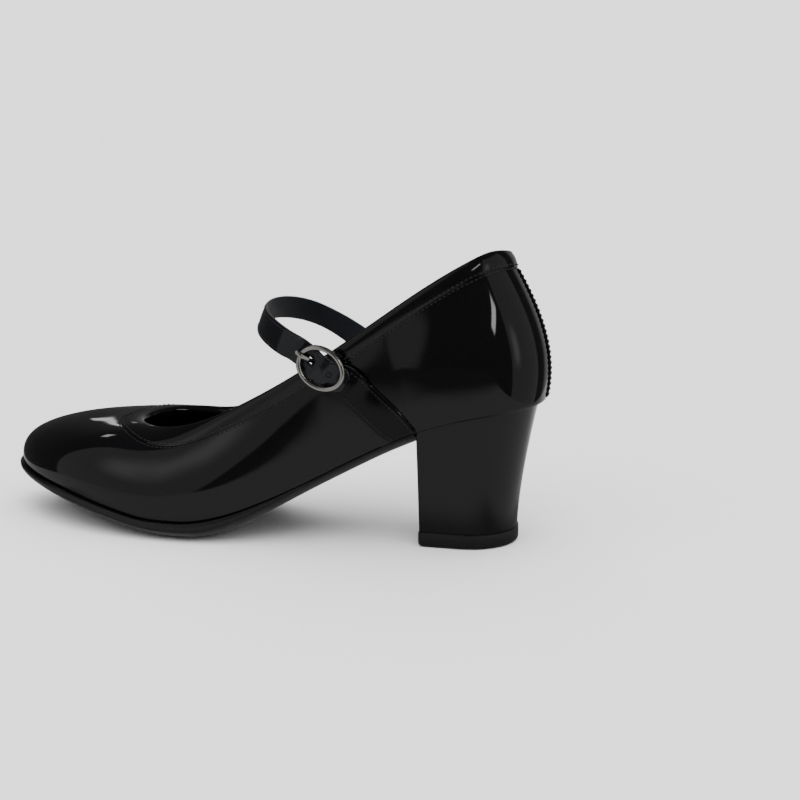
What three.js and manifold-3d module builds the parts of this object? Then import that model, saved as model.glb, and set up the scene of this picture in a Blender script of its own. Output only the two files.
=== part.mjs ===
// Left shoe of a pair of patent strap shoes with a round buckle and a block heel.
// Millimetres. +X towards the toe, +Y towards the outer side of the foot, +Z up.
// The origin is the middle of the top lift's ground face, so the shoe stands on Z = 0.
import * as THREE from "three";
import { mergeVertices } from "three/addons/utils/BufferGeometryUtils.js";
import Module from "manifold-3d";

const wasm = await Module();
wasm.setup();
const V = (x, y, z) => new THREE.Vector3(x, y, z);

// ---------- driving dimensions ----------

// Pieces that touch on the real shoe keep this much air between them.
const GAP = 0.3;

// Overall length and width of the last in plan, along the edge that the upper is lasted to.
const LAST_LENGTH = 238.7;
const LAST_WIDTH = 76;

// Sheet thicknesses.
const PATENT = 1.1;
const LINING = 0.8;
const STIFFENER = 0.9;
const BINDING = 0.8;
const BOARD = 1.6;
const SOCK = 2;
const HEEL_WRAP = 0.9;

// Widths of the folded topline band, its inner flange and the lasting margin under the board.
const BAND_WIDTH = 6.6;
const BAND_WIDTH_THROAT = 9.6;
const INNER_FLANGE_SHARE = 0.42;
const MARGIN_WIDTH = 9;

// Sole and heel.
const SOLE_RIM = 1.7;
const WAIST_RIM = 0.3;
const SOLE_EDGE_RISE = 4.6;
const BREAST_X = 20.6;
const LIFT_HEIGHT = 6.5;
const LIFT_PROUD = 0.5;
const LIFT_CHAMFER = 0.9;
const HEEL_BACK_BOTTOM = -17.8;
const HEEL_HALF_WIDTH_BOTTOM = 19.6;
const SEAT_INSET_BACK = 3.1;
const SEAT_INSET_SIDE = 0.7;

// Fasteners.
const LIFT_PIN_RADIUS = 1.6;
const LIFT_PIN_LENGTH = 20;
const SCREW_RADIUS = 2;
const SCREW_HEAD_RADIUS = 3.6;
const SCREW_LENGTH = 24;
const NAIL_RADIUS = 1.1;
const NAIL_HEAD_RADIUS = 2.2;
const NAIL_LENGTH = 15;
const RIVET_RADIUS = 1.3;
const RIVET_HEAD_RADIUS = 2.3;

// Shank.
const SHANK_WIDTH = 12;
const SHANK_THICKNESS = 0.8;
const SHANK_FROM_X = -10;
const SHANK_TO_X = 86;

// Straps and buckle.
const STRAP_WIDTH = 11.2;
const STRAP_THICKNESS = 1.1;
const CHAPE_WIDTH = 14;
const CHAPE_NECK_WIDTH = 10;
const CHAPE_THICKNESS = 0.7;
const RING_LENGTH = 19.8;
const RING_WIDTH = 16.2;
const RING_WIRE = 1.1;
const BAR_RADIUS = 0.75;
const BAR_DROP = 2.2;
const PRONG_HALF_WIDTH = 0.9;
const PRONG_HALF_THICKNESS = 0.5;
const PRONG_SLOT = 3;
const PRONG_HOLE_WIDTH = 2.5;
const HOLE_RADIUS = 1;
const HOLE_PITCH = 8.8;

// ---------- the last: the form that the shoe is built round ----------

// The tables are drawn for a last of this size, and stretched in plan to the one that is set.
const STRETCH_X = LAST_LENGTH / 238.7;
const STRETCH_Y = LAST_WIDTH / 76;
const stretchPlan = (points) => points.map(([x, y, ...z]) => [x * STRETCH_X, y * STRETCH_Y, ...z]);
const stretchProfile = (points) => points.map(([x, ...rest]) => [x * STRETCH_X, ...rest]);

// Plan outline of the upper's lower edge, from the back along the outer side to the toe and home.
const OUTLINE = stretchPlan([
  [-29.5, 0], [-26, 13.5], [-14.5, 23.2], [3, 26.6], [24, 26.4], [48, 26.2],
  [73, 28.9], [99, 34.4], [126, 37], [153, 34.2], [178, 25.2], [198, 11.5],
  [209.2, -7], [204, -22.5], [189, -32], [165, -38], [138, -39], [110, -35],
  [83, -27.5], [57, -23], [32, -23.6], [5, -26.4], [-14.5, -23.2], [-26, -13.5],
]);

// Topline of the wall, point for point with the outline. The inner side is cut lower.
const TOPLINE = stretchPlan([
  [-13.2, 0, 123.4], [-9.4, 10.5, 125], [-2, 18.8, 122.6], [14, 23.8, 113.2], [33, 26.2, 99.8],
  [54, 27.2, 84.5], [77, 27.3, 69], [99, 26.2, 56.3], [118, 24.2, 47.8], [134, 19, 44.1],
  [143.5, 11.5, 43.2], [148, 5, 42.9], [149.5, -2.5, 42.8], [147.8, -10, 43],
  [142, -17, 43.4], [131, -23, 43.6], [115, -26.6, 43.2], [95, -28.2, 50.5],
  [73, -28.8, 65.3], [51, -28.2, 80.8], [31, -26.8, 94.5], [13, -24, 106.6],
  [-2, -18.8, 115.6], [-9.4, -10.5, 120.4],
]);

// Side profiles, as [x, z]: the feather line where the upper meets the sole, and the tread.
const FEATHER = stretchProfile([
  [-34, 62.7], [-3, 58.2], [20, 51.3], [34, 44.6], [50, 36.2], [70, 25.3], [90, 15.8],
  [105, 10.4], [120, 7.8], [135, 7.9], [150, 10.4], [165, 13.4], [185, 17], [216, 20.6],
]);
const TREAD = stretchProfile([
  [16, 48.2], [34, 39.8], [50, 31.2], [70, 20.2], [85, 11.8], [97, 5.8], [107, 2], [115, 0],
  [130, 0], [142, 1.5], [155, 4.1], [170, 7.1], [190, 11], [216, 15.2],
]);

const STATIONS = 48;
const TOE = STATIONS / 2;
const ROWS = 8;

// Height of a profile at x, by a monotone cubic through its points.
function profile(points) {
  const slope = points.map((p, i) => {
    const a = points[i - 1];
    const b = points[i + 1];
    if (!a || !b) return 0;
    const before = (p[1] - a[1]) / (p[0] - a[0]);
    const after = (b[1] - p[1]) / (b[0] - p[0]);
    return before * after <= 0 ? 0 : (2 * before * after) / (before + after);
  });
  const last = points.length - 1;
  slope[0] = (points[1][1] - points[0][1]) / (points[1][0] - points[0][0]);
  slope[last] = (points[last][1] - points[last - 1][1]) / (points[last][0] - points[last - 1][0]);
  return (x) => {
    let i = points.findIndex((p) => p[0] > x) - 1;
    if (i < 0) i = x < points[0][0] ? 0 : last - 1;
    const [x0, z0] = points[i];
    const [x1, z1] = points[i + 1];
    const h = x1 - x0;
    const t = (x - x0) / h;
    const u = 1 - t;
    return (1 + 2 * t) * u * u * z0 + t * u * u * h * slope[i]
      + t * t * (3 - 2 * t) * z1 - t * t * u * h * slope[i + 1];
  };
}
const featherZ = profile(FEATHER);
const treadZ = profile(TREAD);

const outlineCurve = new THREE.CatmullRomCurve3(OUTLINE.map(([x, y]) => V(x, y, 0)), true);
const toplineCurve = new THREE.CatmullRomCurve3(TOPLINE.map(([x, y, z]) => V(x, y, z)), true);
const wrap = (u) => ((u % 1) + 1) % 1;

// The outward direction in plan, square to the outline.
function outwardAt(u) {
  const t = outlineCurve.getTangent(wrap(u));
  return V(-t.y, t.x, 0).normalize();
}

// A point in plan, inset from the outline (or outside it where inset is negative).
function outlinePoint(u, inset) {
  return outlineCurve.getPoint(wrap(u)).addScaledVector(outwardAt(u), -inset);
}

// The wall's outer surface: u runs round the shoe, t from the feather edge (0) to the topline (1).
// A low wall that reaches far in, as at the toe, is a dome; a high steep one is nearly straight.
const WALL_FOOT = GAP + 0.1;
const SIDE_BULGE = 3.2;
const BACK_BULGE = 5;
function wallPoint(u, t) {
  const foot = outlinePoint(u, 0);
  foot.z = featherZ(foot.x) + WALL_FOOT;
  const top = toplineCurve.getPoint(wrap(u));
  const out = outwardAt(u);
  const height = top.z - foot.z;
  const reach = Math.max(0, foot.clone().sub(top).dot(out));
  const dome = THREE.MathUtils.smoothstep(reach / height, 0.1, 1.3);
  const atBack = THREE.MathUtils.smoothstep(-foot.x, 0, 26);
  const bulge = THREE.MathUtils.lerp(SIDE_BULGE, BACK_BULGE, atBack);
  const rise = height * THREE.MathUtils.lerp(0.34, 0.74, dome);
  const low = foot.clone().addScaledVector(out, bulge).add(V(0, 0, rise));
  const drop = height * THREE.MathUtils.lerp(0.34, -0.04, dome);
  const high = top.clone().addScaledVector(out, 0.62 * reach + 1.5).add(V(0, 0, -drop));
  return new THREE.CubicBezierCurve3(foot, low, high, top).getPoint(t);
}

// Unit normal of the wall, pointing out of the shoe.
function wallNormal(u, t) {
  const du = 2e-3;
  const dt = 1e-2;
  const along = wallPoint(u + du, t).sub(wallPoint(u - du, t));
  const up = wallPoint(u, Math.min(1, t + dt)).sub(wallPoint(u, Math.max(0, t - dt)));
  return up.cross(along).normalize();
}

// A point at a depth inside the wall's outer surface; a negative depth is outside it.
const wallDepth = (u, t, depth) => wallPoint(u, t).addScaledVector(wallNormal(u, t), -depth);

// Where the wall's outer surface passes through a given x and z on one side (+1 outer, -1 inner).
function onWall(side, x, z) {
  const bisect = (low, high, isBelow) => {
    for (let i = 0; i < 30; i++) {
      const mid = (low + high) / 2;
      if (isBelow(mid)) low = mid;
      else high = mid;
    }
    return (low + high) / 2;
  };
  const uAt = (t) => bisect(0, 0.5, (v) => wallPoint(side * v, t).x < x) * side;
  const t = bisect(0, 1, (w) => wallPoint(uAt(w), w).z < z);
  return { point: wallPoint(uAt(t), t), normal: wallNormal(uAt(t), t) };
}

// ---------- solids from rows of points ----------

// A closed geometry from points and quads. Quads split on their shorter diagonal, so that layers
// which lie side by side fold the same way. Corners that meet are welded and flat faces dropped.
function geometryOf(points, quads) {
  const welded = new Map();
  const index = points.map((p) => {
    const key = [p.x, p.y, p.z].map((v) => Math.round(v * 1e3)).join();
    if (!welded.has(key)) welded.set(key, welded.size);
    return welded.get(key);
  });
  const position = new Float32Array(welded.size * 3);
  points.forEach((p, i) => p.toArray(position, index[i] * 3));
  const triangles = quads.flatMap(([a, b, c, d]) => (
    points[a].distanceTo(points[c]) <= points[b].distanceTo(points[d]) + 1e-6
      ? [[a, b, c], [a, c, d]]
      : [[b, c, d], [b, d, a]]
  )).map((t) => t.map((i) => index[i])).filter(([a, b, c]) => a !== b && b !== c && c !== a);
  const g = new THREE.BufferGeometry();
  g.setAttribute("position", new THREE.BufferAttribute(position, 3));
  g.setIndex(triangles.flat());
  return g;
}

// Lofts closed sections into a solid. Round a loop the last section joins the first; otherwise each
// end is closed by quads between a section's point j and its point (count - 1 - j).
function loft(sections, loop = false) {
  const count = sections[0].length;
  const faces = [];
  const last = loop ? sections.length : sections.length - 1;
  for (let i = 0; i < last; i++) {
    const a = i * count;
    const b = ((i + 1) % sections.length) * count;
    for (let j = 0; j < count; j++) {
      const k = (j + 1) % count;
      faces.push([a + j, a + k, b + k, b + j]);
    }
  }
  if (!loop) {
    const end = (sections.length - 1) * count;
    for (let j = 0; j < count / 2 - 1; j++) {
      const far = count - 1 - j;
      faces.push([far, far - 1, j + 1, j]);
      faces.push([end + j, end + j + 1, end + far - 1, end + far]);
    }
  }
  return outwardFacing(geometryOf(sections.flat(), faces));
}

// Turns a closed geometry's faces outward if its volume comes out negative.
function outwardFacing(g) {
  const p = g.getAttribute("position");
  const index = g.index.array;
  const [a, b, c] = [V(), V(), V()];
  let volume = 0;
  for (let i = 0; i < index.length; i += 3) {
    a.fromBufferAttribute(p, index[i]);
    b.fromBufferAttribute(p, index[i + 1]);
    c.fromBufferAttribute(p, index[i + 2]);
    volume += a.dot(b.cross(c));
  }
  if (volume < 0) {
    for (let i = 0; i < index.length; i += 3) [index[i + 1], index[i + 2]] = [index[i + 2], index[i + 1]];
  }
  return g;
}

// A shell from stations of [outer, inner] point pairs.
function shell(stations, loop = false) {
  return loft(stations.map((rows) => [...rows.map((r) => r[0]), ...rows.map((r) => r[1]).reverse()]), loop);
}

// ---------- boolean cuts ----------

function solidOf(geometry) {
  const g = geometry.index ? geometry.clone() : mergeVertices(geometry.clone());
  g.deleteAttribute("normal");
  g.deleteAttribute("uv");
  const merged = mergeVertices(g, 1e-4);
  return new wasm.Manifold(new wasm.Mesh({
    numProp: 3,
    vertProperties: new Float32Array(merged.attributes.position.array),
    triVerts: new Uint32Array(merged.index.array),
  }));
}

function geometryFrom(solid) {
  const mesh = solid.getMesh();
  const g = new THREE.BufferGeometry();
  g.setAttribute("position", new THREE.BufferAttribute(mesh.vertProperties.slice(), mesh.numProp));
  g.setIndex(new THREE.BufferAttribute(mesh.triVerts.slice(), 1));
  return g;
}

const cut = (geometry, ...tools) => geometryFrom(
  tools.reduce((body, tool) => body.subtract(solidOf(tool)), solidOf(geometry)),
);
const join = (first, ...others) => geometryFrom(
  others.reduce((body, other) => body.add(solidOf(other)), solidOf(first)),
);

// An upright round rod between two heights.
function rod(x, y, bottom, top, radius, sides = 10) {
  return new THREE.CylinderGeometry(radius, radius, top - bottom, sides)
    .rotateX(Math.PI / 2)
    .translate(x, y, (bottom + top) / 2);
}

// ---------- the assembly ----------

const shoe = new THREE.Group();
const MATERIALS = {
  patent: { color: 0x0a0a0b, roughness: 0.12, metalness: 0 },
  lining: { color: 0x1b1b1d, roughness: 0.75, metalness: 0 },
  sole: { color: 0x161617, roughness: 0.5, metalness: 0 },
  lift: { color: 0x121213, roughness: 0.6, metalness: 0 },
  board: { color: 0xb29a72, roughness: 0.9, metalness: 0 },
  stiffener: { color: 0xd6d0c2, roughness: 0.85, metalness: 0 },
  heel_core: { color: 0x2a2a2c, roughness: 0.45, metalness: 0 },
  steel: { color: 0x9a9a9c, roughness: 0.35, metalness: 1 },
  buckle: { color: 0x8f8a84, roughness: 0.28, metalness: 1 },
};

function add(name, geometry, slot) {
  const mesh = new THREE.Mesh(geometry, new THREE.MeshStandardMaterial(MATERIALS[slot]));
  mesh.name = name;
  shoe.add(mesh);
  return mesh;
}

// ---------- upper ----------

const stationU = (i) => i / STATIONS;

// Where the topline band starts. It is widest round the throat.
const bandStarts = new Map();
function bandStart(u) {
  const key = wrap(u).toFixed(6);
  if (!bandStarts.has(key)) {
    const edge = wallPoint(u, 1);
    const throat = THREE.MathUtils.smoothstep(edge.x, 95, 140);
    const width = THREE.MathUtils.lerp(BAND_WIDTH, BAND_WIDTH_THROAT, throat);
    let t = 1;
    while (t > 0.5 && wallPoint(u, t).distanceTo(edge) < width) t -= 0.004;
    bandStarts.set(key, t);
  }
  return bandStarts.get(key);
}

// Heights up the wall shared by every layer: the foot, six steps to the band, and the band.
function rowT(u, row) {
  const start = bandStart(u);
  if (row <= 6) return start * [0, 0.13, 0.29, 0.46, 0.63, 0.81, 1][row];
  return row === 7 ? (start + 1) / 2 : 1;
}
const rowRange = (from, to) => Array.from({ length: to - from + 1 }, (_, k) => from + k);
const stationRange = (from, to) => Array.from({ length: to - from + 1 }, (_, k) => from + k);
const allStations = stationRange(0, STATIONS - 1);

// Depth of the lining below the wall's outer surface: room for a stiffener, closing at the topline.
const LINING_DEPTH = PATENT + 2 * GAP + STIFFENER;
const TOPLINE_DEPTH = PATENT + GAP;
const liningDepth = (row) => [LINING_DEPTH, TOPLINE_DEPTH + 0.4, TOPLINE_DEPTH][Math.max(0, row - 6)];

// A shell inside the wall over some stations and rows, between two depths.
function wallLayer(stations, rows, outerDepth, innerDepth, loop = false) {
  return shell(stations.map((i) => rows.map((row) => {
    const u = stationU(i);
    const t = rowT(u, row);
    return [wallDepth(u, t, outerDepth(row)), wallDepth(u, t, innerDepth(row))];
  })), loop);
}

// The patent upper, with the lasting margin that turns in under the insole board.
function upper() {
  return shell(allStations.map((i) => {
    const u = stationU(i);
    const low = (p) => V(p.x, p.y, featherZ(p.x) + WALL_FOOT);
    const high = (p) => V(p.x, p.y, featherZ(p.x) + WALL_FOOT + PATENT);
    const marginEnd = outlinePoint(u, MARGIN_WIDTH);
    return [
      [low(marginEnd), high(marginEnd)],
      [wallPoint(u, 0), high(outlinePoint(u, PATENT))],
      ...rowRange(1, ROWS).map((row) => {
        const t = rowT(u, row);
        return [wallPoint(u, t), wallDepth(u, t, PATENT)];
      }),
    ];
  }), true);
}

// The binding folds over the topline: a band outside, a narrow web over the edge, a flange inside.
function binding() {
  const outer = -(GAP + BINDING);
  const flange = TOPLINE_DEPTH + LINING + GAP;
  return shell(allStations.map((i) => {
    const u = stationU(i);
    const edge = wallPoint(u, 1);
    const up = edge.clone().sub(wallPoint(u, 0.97)).normalize();
    const out = wallNormal(u, 1);
    const at = (depth, rise) => edge.clone().addScaledVector(out, -depth).addScaledVector(up, rise);
    const band = (row) => {
      const t = rowT(u, row);
      return [wallDepth(u, t, outer), wallDepth(u, t, -GAP)];
    };
    return [
      band(6),
      band(7),
      [at(outer, 0), at(-GAP, 0)],
      [at(outer + 0.5, GAP + BINDING), at(-GAP, GAP)],
      [at(flange + BINDING - 0.5, GAP + BINDING), at(flange, GAP)],
      [at(flange + BINDING, 0), at(flange, 0)],
      [BINDING + 0.4, 0.4].map((more) => wallDepth(u, 1 - (1 - rowT(u, 6)) * INNER_FLANGE_SHARE, flange + more)),
    ];
  }), true);
}

// The lining is a vamp piece and a quarter piece, which butt at the sides.
const VAMP_HALF = 11;
const BUTT_NUDGE = 0.03;
function liningPiece(from, to) {
  const stations = stationRange(from, to);
  stations[0] += BUTT_NUDGE;
  stations[stations.length - 1] -= BUTT_NUDGE;
  return wallLayer(stations, rowRange(1, ROWS), liningDepth, (row) => liningDepth(row) + LINING);
}

const COUNTER_HALF = 8;
const PUFF_HALF = 6;
const stiffenerOuter = () => PATENT + GAP;
const stiffenerInner = () => PATENT + GAP + STIFFENER;
const stiffenerPiece = (middle, half, topRow) => wallLayer(
  stationRange(middle - half, middle + half), rowRange(1, topRow), stiffenerOuter, stiffenerInner,
);

// Narrow strip over the centre back seam, up to the band's lower edge.
const BACK_STRIP = 0.6;
const BACK_STRIP_TURN = 0.0042;
function backStrip() {
  return shell([-BACK_STRIP_TURN, 0, BACK_STRIP_TURN].map((u) => (
    [0.03, 0.2, 0.4, 0.6, 0.8, 0.985].map((share) => {
      const t = share * bandStart(u);
      return [wallDepth(u, t, -(GAP + BACK_STRIP)), wallDepth(u, t, -GAP)];
    })
  )));
}

add("upper", upper(), "patent");
add("topline_binding", binding(), "patent");
add("vamp_lining", liningPiece(TOE - VAMP_HALF, TOE + VAMP_HALF), "lining");
add("quarter_lining", liningPiece(TOE + VAMP_HALF, TOE - VAMP_HALF + STATIONS), "lining");
add("toe_puff", stiffenerPiece(TOE, PUFF_HALF, 4), "stiffener");
add("heel_counter", stiffenerPiece(0, COUNTER_HALF, 5), "stiffener");
add("back_seam_strip", backStrip(), "patent");

// ---------- bottom ----------

// Layers under the foot, as heights above the feather line.
const BOARD_LOW = WALL_FOOT + PATENT + GAP + 0.35;
const BOARD_HIGH = BOARD_LOW + BOARD;
const SOCK_LOW = BOARD_HIGH + GAP;
const BOARD_INSET = PATENT + 1.2;
const SOCK_INSET = LINING_DEPTH + LINING + 2;

// The outline at some inset, as the x of its ends and its y on either side at a given x.
function insetOutline(inset) {
  const xAt = (u) => outlinePoint(u, inset).x;
  const peak = (from, to, sign) => {
    let [low, high] = [from, to];
    for (let i = 0; i < 60; i++) {
      const [a, b] = [low + (high - low) / 3, high - (high - low) / 3];
      if (sign * xAt(a) < sign * xAt(b)) low = a;
      else high = b;
    }
    return (low + high) / 2;
  };
  const uBack = peak(-0.05, 0.05, -1);
  const uToe = peak(0.44, 0.56, 1);
  const yAt = (side, x) => {
    let low = uBack;
    let high = side > 0 ? uToe : uToe - 1;
    for (let i = 0; i < 40; i++) {
      const mid = (low + high) / 2;
      if (xAt(mid) < x) low = mid;
      else high = mid;
    }
    return outlinePoint(low, inset).y;
  };
  return { backX: xAt(uBack), toeX: xAt(uToe), yAt };
}

// A plate over a range of x, by default from the back to the toe, in slices square to x. Lanes are
// distances in from the edge, met by a lane up the middle.
function plate({ inset, waistInset = inset, fromX = null, lanes = [0], top, bottom, slices = 26 }) {
  const { backX, toeX, yAt: foreY } = insetOutline(inset);
  const { yAt: waistY } = insetOutline(waistInset);
  const yAt = (side, x) => {
    const fore = THREE.MathUtils.smoothstep(x, 60, 110);
    return fore === 1 ? foreY(side, x) : THREE.MathUtils.lerp(waistY(side, x), foreY(side, x), fore);
  };
  const start = fromX === null ? backX : fromX;
  return loft(Array.from({ length: slices + 1 }, (_, k) => {
    const share = fromX === null
      ? (1 - Math.cos((Math.PI * k) / slices)) / 2
      : Math.sin((Math.PI * k) / slices / 2);
    const x = start + (toeX - start) * share;
    const atEnd = k === slices || (k === 0 && fromX === null);
    const outer = yAt(1, x);
    const inner = atEnd ? outer : yAt(-1, x);
    const width = outer - inner;
    const fractions = lanes.map((d, j) => (width ? Math.min(d / width, (0.48 * j) / lanes.length) : 0));
    const across = [...fractions, 0.5, ...fractions.map((f) => 1 - f).reverse()];
    const surface = (height) => across.map((f) => (
      V(x, outer - f * width, height(x, Math.min(f, 1 - f) * width))
    ));
    return [...surface(top), ...surface(bottom).reverse()];
  }));
}

// Slope of the feather line, and pegs driven square to it. Distances are measured along the peg.
const slopeAt = (x) => (featherZ(x + 0.5) - featherZ(x - 0.5));
const alongPeg = (x, height) => height / Math.hypot(1, slopeAt(x));
function peg(x, y, from, to, radius, sides = 8) {
  return new THREE.CylinderGeometry(radius, radius, to - from, sides)
    .rotateX(Math.PI / 2)
    .translate(0, 0, (from + to) / 2)
    .rotateY(-Math.atan(slopeAt(x)))
    .translate(x, y, featherZ(x));
}

// A headed peg let into the board's upper face, and the room that it needs.
const HEAD_SEAT = 0.6;
const HEAD_THICKNESS = 0.7;
function headedPeg({ x, y, to, radius, headRadius }, extra = 0) {
  const seat = alongPeg(x, BOARD_LOW + HEAD_SEAT);
  const headTop = extra ? alongPeg(x, BOARD_HIGH) + 3 : seat + HEAD_THICKNESS;
  return join(
    peg(x, y, to - extra, seat + 0.1, radius + extra),
    peg(x, y, seat - extra, headTop, headRadius + extra, 12),
  );
}

const screw = { x: -3, y: 0, to: -SCREW_LENGTH, radius: SCREW_RADIUS, headRadius: SCREW_HEAD_RADIUS };
const nails = [[-14, 10], [-14, -10], [12, 13], [12, -13]].map(([x, y]) => ({
  x, y, to: -NAIL_LENGTH, radius: NAIL_RADIUS, headRadius: NAIL_HEAD_RADIUS,
}));
const rivets = [[34, 1], [80, 1]].map(([x, y]) => ({
  x, y, to: alongPeg(x, 0.15), radius: RIVET_RADIUS, headRadius: RIVET_HEAD_RADIUS,
}));
const room = (fastener) => headedPeg(fastener, GAP);
const pins = [[-8, 0], [11, 0]];

const above = (height) => (x) => featherZ(x) + height;
add("insole_board", cut(
  plate({ inset: BOARD_INSET, top: above(BOARD_HIGH), bottom: above(BOARD_LOW) }),
  room(screw), ...nails.map(room), ...rivets.map(room),
), "board");
add("insole_sock", plate({
  inset: SOCK_INSET, top: above(SOCK_LOW + SOCK), bottom: above(SOCK_LOW),
}), "lining");

// Filler levels the forefoot between the lasting margins.
add("bottom_filler", plate({
  inset: MARGIN_WIDTH + 2 * GAP, fromX: SHANK_TO_X + 4,
  top: above(BOARD_LOW - GAP), bottom: above(GAP), slices: 14,
}), "board");

// Spring steel shank under the board, through the waist and into the heel seat.
function shankStrip() {
  const low = BOARD_LOW - GAP - SHANK_THICKNESS;
  return loft(Array.from({ length: 17 }, (_, k) => {
    const x = THREE.MathUtils.lerp(SHANK_FROM_X, SHANK_TO_X, k / 16);
    const z = featherZ(x);
    const half = SHANK_WIDTH / 2;
    return [
      V(x, 1 + half, z + low + SHANK_THICKNESS), V(x, 1 - half, z + low + SHANK_THICKNESS),
      V(x, 1 - half, z + low), V(x, 1 + half, z + low),
    ];
  }));
}
add("shank", cut(shankStrip(), room(screw), ...rivets.map(room)), "steel");
rivets.forEach((rivet, i) => add(`shank_rivet_${i + 1}`, headedPeg(rivet), "steel"));

// The outsole runs from the heel breast to the toe, and its tread is crowned towards the edges.
const EDGE_CROWN = 12;
add("outsole", plate({
  inset: -SOLE_RIM, waistInset: -WAIST_RIM, fromX: BREAST_X + GAP, lanes: [0, 1, 3, 6.5, EDGE_CROWN],
  top: (x) => featherZ(x),
  bottom: (x, d) => treadZ(x) + SOLE_EDGE_RISE * Math.max(0, 1 - d / EDGE_CROWN) ** 2,
}), "sole");

// ---------- heel ----------

// The heel's section is a flat breast, straight sides and a half ellipse at the back. v runs from
// the outer breast corner round the back to the inner one; h runs from the lift to the seat.
const HEEL_BACK_TOP = OUTLINE[0][0] + SEAT_INSET_BACK;
const HEEL_HALF_WIDTH_TOP = OUTLINE[3][1] - SEAT_INSET_SIDE;
const HEEL_STEPS = 20;
const HEEL_LEVELS = [0, 0.25, 0.5, 0.75, 1];
function heelPoint(v, h, inset) {
  const half = THREE.MathUtils.lerp(HEEL_HALF_WIDTH_BOTTOM, HEEL_HALF_WIDTH_TOP, h ** 1.1) - inset;
  const back = THREE.MathUtils.lerp(HEEL_BACK_BOTTOM, HEEL_BACK_TOP, h ** 1.5) + inset;
  const arcX = back + 1.06 * half;
  const straight = 0.2;
  const side = Math.min(v, 1 - v) / straight;
  if (side < 1) {
    const y = v < 0.5 ? half : -half;
    return V(THREE.MathUtils.lerp(BREAST_X - inset, arcX, side), y, 0);
  }
  const angle = ((v - straight) / (1 - 2 * straight)) * Math.PI;
  return V(arcX - (arcX - back) * Math.sin(angle), half * Math.cos(angle), 0);
}
function heelSurface(v, h, inset, breastInset = inset) {
  const p = heelPoint(v, h, inset);
  if (v === 0 || v === 1) p.x = BREAST_X - breastInset;
  p.z = THREE.MathUtils.lerp(LIFT_HEIGHT + GAP, featherZ(p.x), h);
  return p;
}
const heelV = Array.from({ length: HEEL_STEPS + 1 }, (_, j) => j / HEEL_STEPS);

const heelCore = loft(HEEL_LEVELS.map((h) => heelV.map((v) => heelSurface(v, h, HEEL_WRAP + GAP))));
const pinRod = ([x, y], extra) => rod(
  x, y, extra ? -1 : 0.3, LIFT_PIN_LENGTH + extra, LIFT_PIN_RADIUS + extra,
);
const pinHoles = pins.map((p) => pinRod(p, GAP));
add("heel_core", cut(heelCore, room(screw), ...nails.map(room), ...pinHoles), "heel_core");
add("heel_wrap", shell(heelV.map((v) => HEEL_LEVELS.map((h) => [
  heelSurface(v, h, 0, 0), heelSurface(v, h, HEEL_WRAP, 0),
]))), "patent");
add("heel_breast_cover", loft(HEEL_LEVELS.map((h) => {
  const y = heelPoint(0, h, HEEL_WRAP + GAP).y;
  const at = (x, side) => V(x, side * y, THREE.MathUtils.lerp(LIFT_HEIGHT + GAP, featherZ(x), h));
  return [at(BREAST_X, 1), at(BREAST_X - HEEL_WRAP, 1), at(BREAST_X - HEEL_WRAP, -1), at(BREAST_X, -1)];
})), "patent");
add("top_lift", cut(
  loft([[0, LIFT_CHAMFER], [LIFT_CHAMFER, 0], [LIFT_HEIGHT, 0]].map(([z, draw]) => (
    heelV.map((v) => heelPoint(v, 0, draw - LIFT_PROUD).setZ(z))
  ))),
  ...pinHoles,
), "lift");
add("heel_screw", headedPeg(screw), "steel");
nails.forEach((nail, i) => add(`heel_nail_${i + 1}`, headedPeg(nail), "steel"));
pins.forEach((p, i) => add(`lift_pin_${i + 1}`, pinRod(p, 0), "steel"));

// ---------- straps and buckle ----------

// Frame of the buckle ring: along runs up the strap, across is the way of the bar, out is away
// from the foot. Offsets below are [along, out] from the ring's middle.
const ALONG = V(0.822, 0, 0.569).normalize();
const ACROSS = V(-0.569, 0, 0.822).normalize();
const OUT = V(0, 1, 0);
const ringCentre = V(58.8 * STRETCH_X, 0, 78.4);
const ringPoint = (along, out, across = 0) => ringCentre.clone()
  .addScaledVector(ALONG, along).addScaledVector(OUT, out).addScaledVector(ACROSS, across);

// Depths of the layers that pass under the ring's rim.
const STRAP_UNDER = -(RING_WIRE + GAP + STRAP_THICKNESS / 2);
const CHAPE_UNDER = STRAP_UNDER - STRAP_THICKNESS / 2 - GAP - CHAPE_THICKNESS / 2;
const FOLD_UNDER = CHAPE_UNDER - CHAPE_THICKNESS - GAP;
const FOLD_RADIUS = BAR_RADIUS + GAP + CHAPE_THICKNESS / 2;

// The fold's lower layer stands clear of the topline band by this much.
const FOLD_CLEARANCE = 0.84;
ringCentre.y = onWall(1, ringCentre.x, ringCentre.z).point.y + GAP + BINDING + FOLD_CLEARANCE
  + CHAPE_THICKNESS / 2 - FOLD_UNDER;
const HUMP = -BAR_DROP + BAR_RADIUS + 0.25 + 2 * PRONG_HALF_THICKNESS + GAP + STRAP_THICKNESS / 2;

// A ribbon through stations of { middle, across (half the width), out }.
function ribbon(stations, thickness) {
  return loft(stations.map(({ middle, across, out }) => {
    const at = (side, face) => middle.clone()
      .addScaledVector(across, side).addScaledVector(out, (face * thickness) / 2);
    return [at(-1, 1), at(0, 1), at(1, 1), at(1, -1), at(0, -1), at(-1, -1)];
  }));
}

// Stations from a path in the ring's frame, with the ribbon's normal square to the path.
function ringStations(path, halfWidthAt, turn = 1) {
  return path.map(([along, out], i) => {
    const [a0, o0] = path[Math.max(0, i - 1)];
    const [a1, o1] = path[Math.min(path.length - 1, i + 1)];
    const tangent = V(0, 0, 0).addScaledVector(ALONG, a1 - a0).addScaledVector(OUT, o1 - o0).normalize();
    const normal = tangent.clone().cross(ACROSS).normalize().multiplyScalar(turn);
    return { middle: ringPoint(along, out), across: ACROSS.clone().multiplyScalar(halfWidthAt(along)), out: normal };
  });
}

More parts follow.
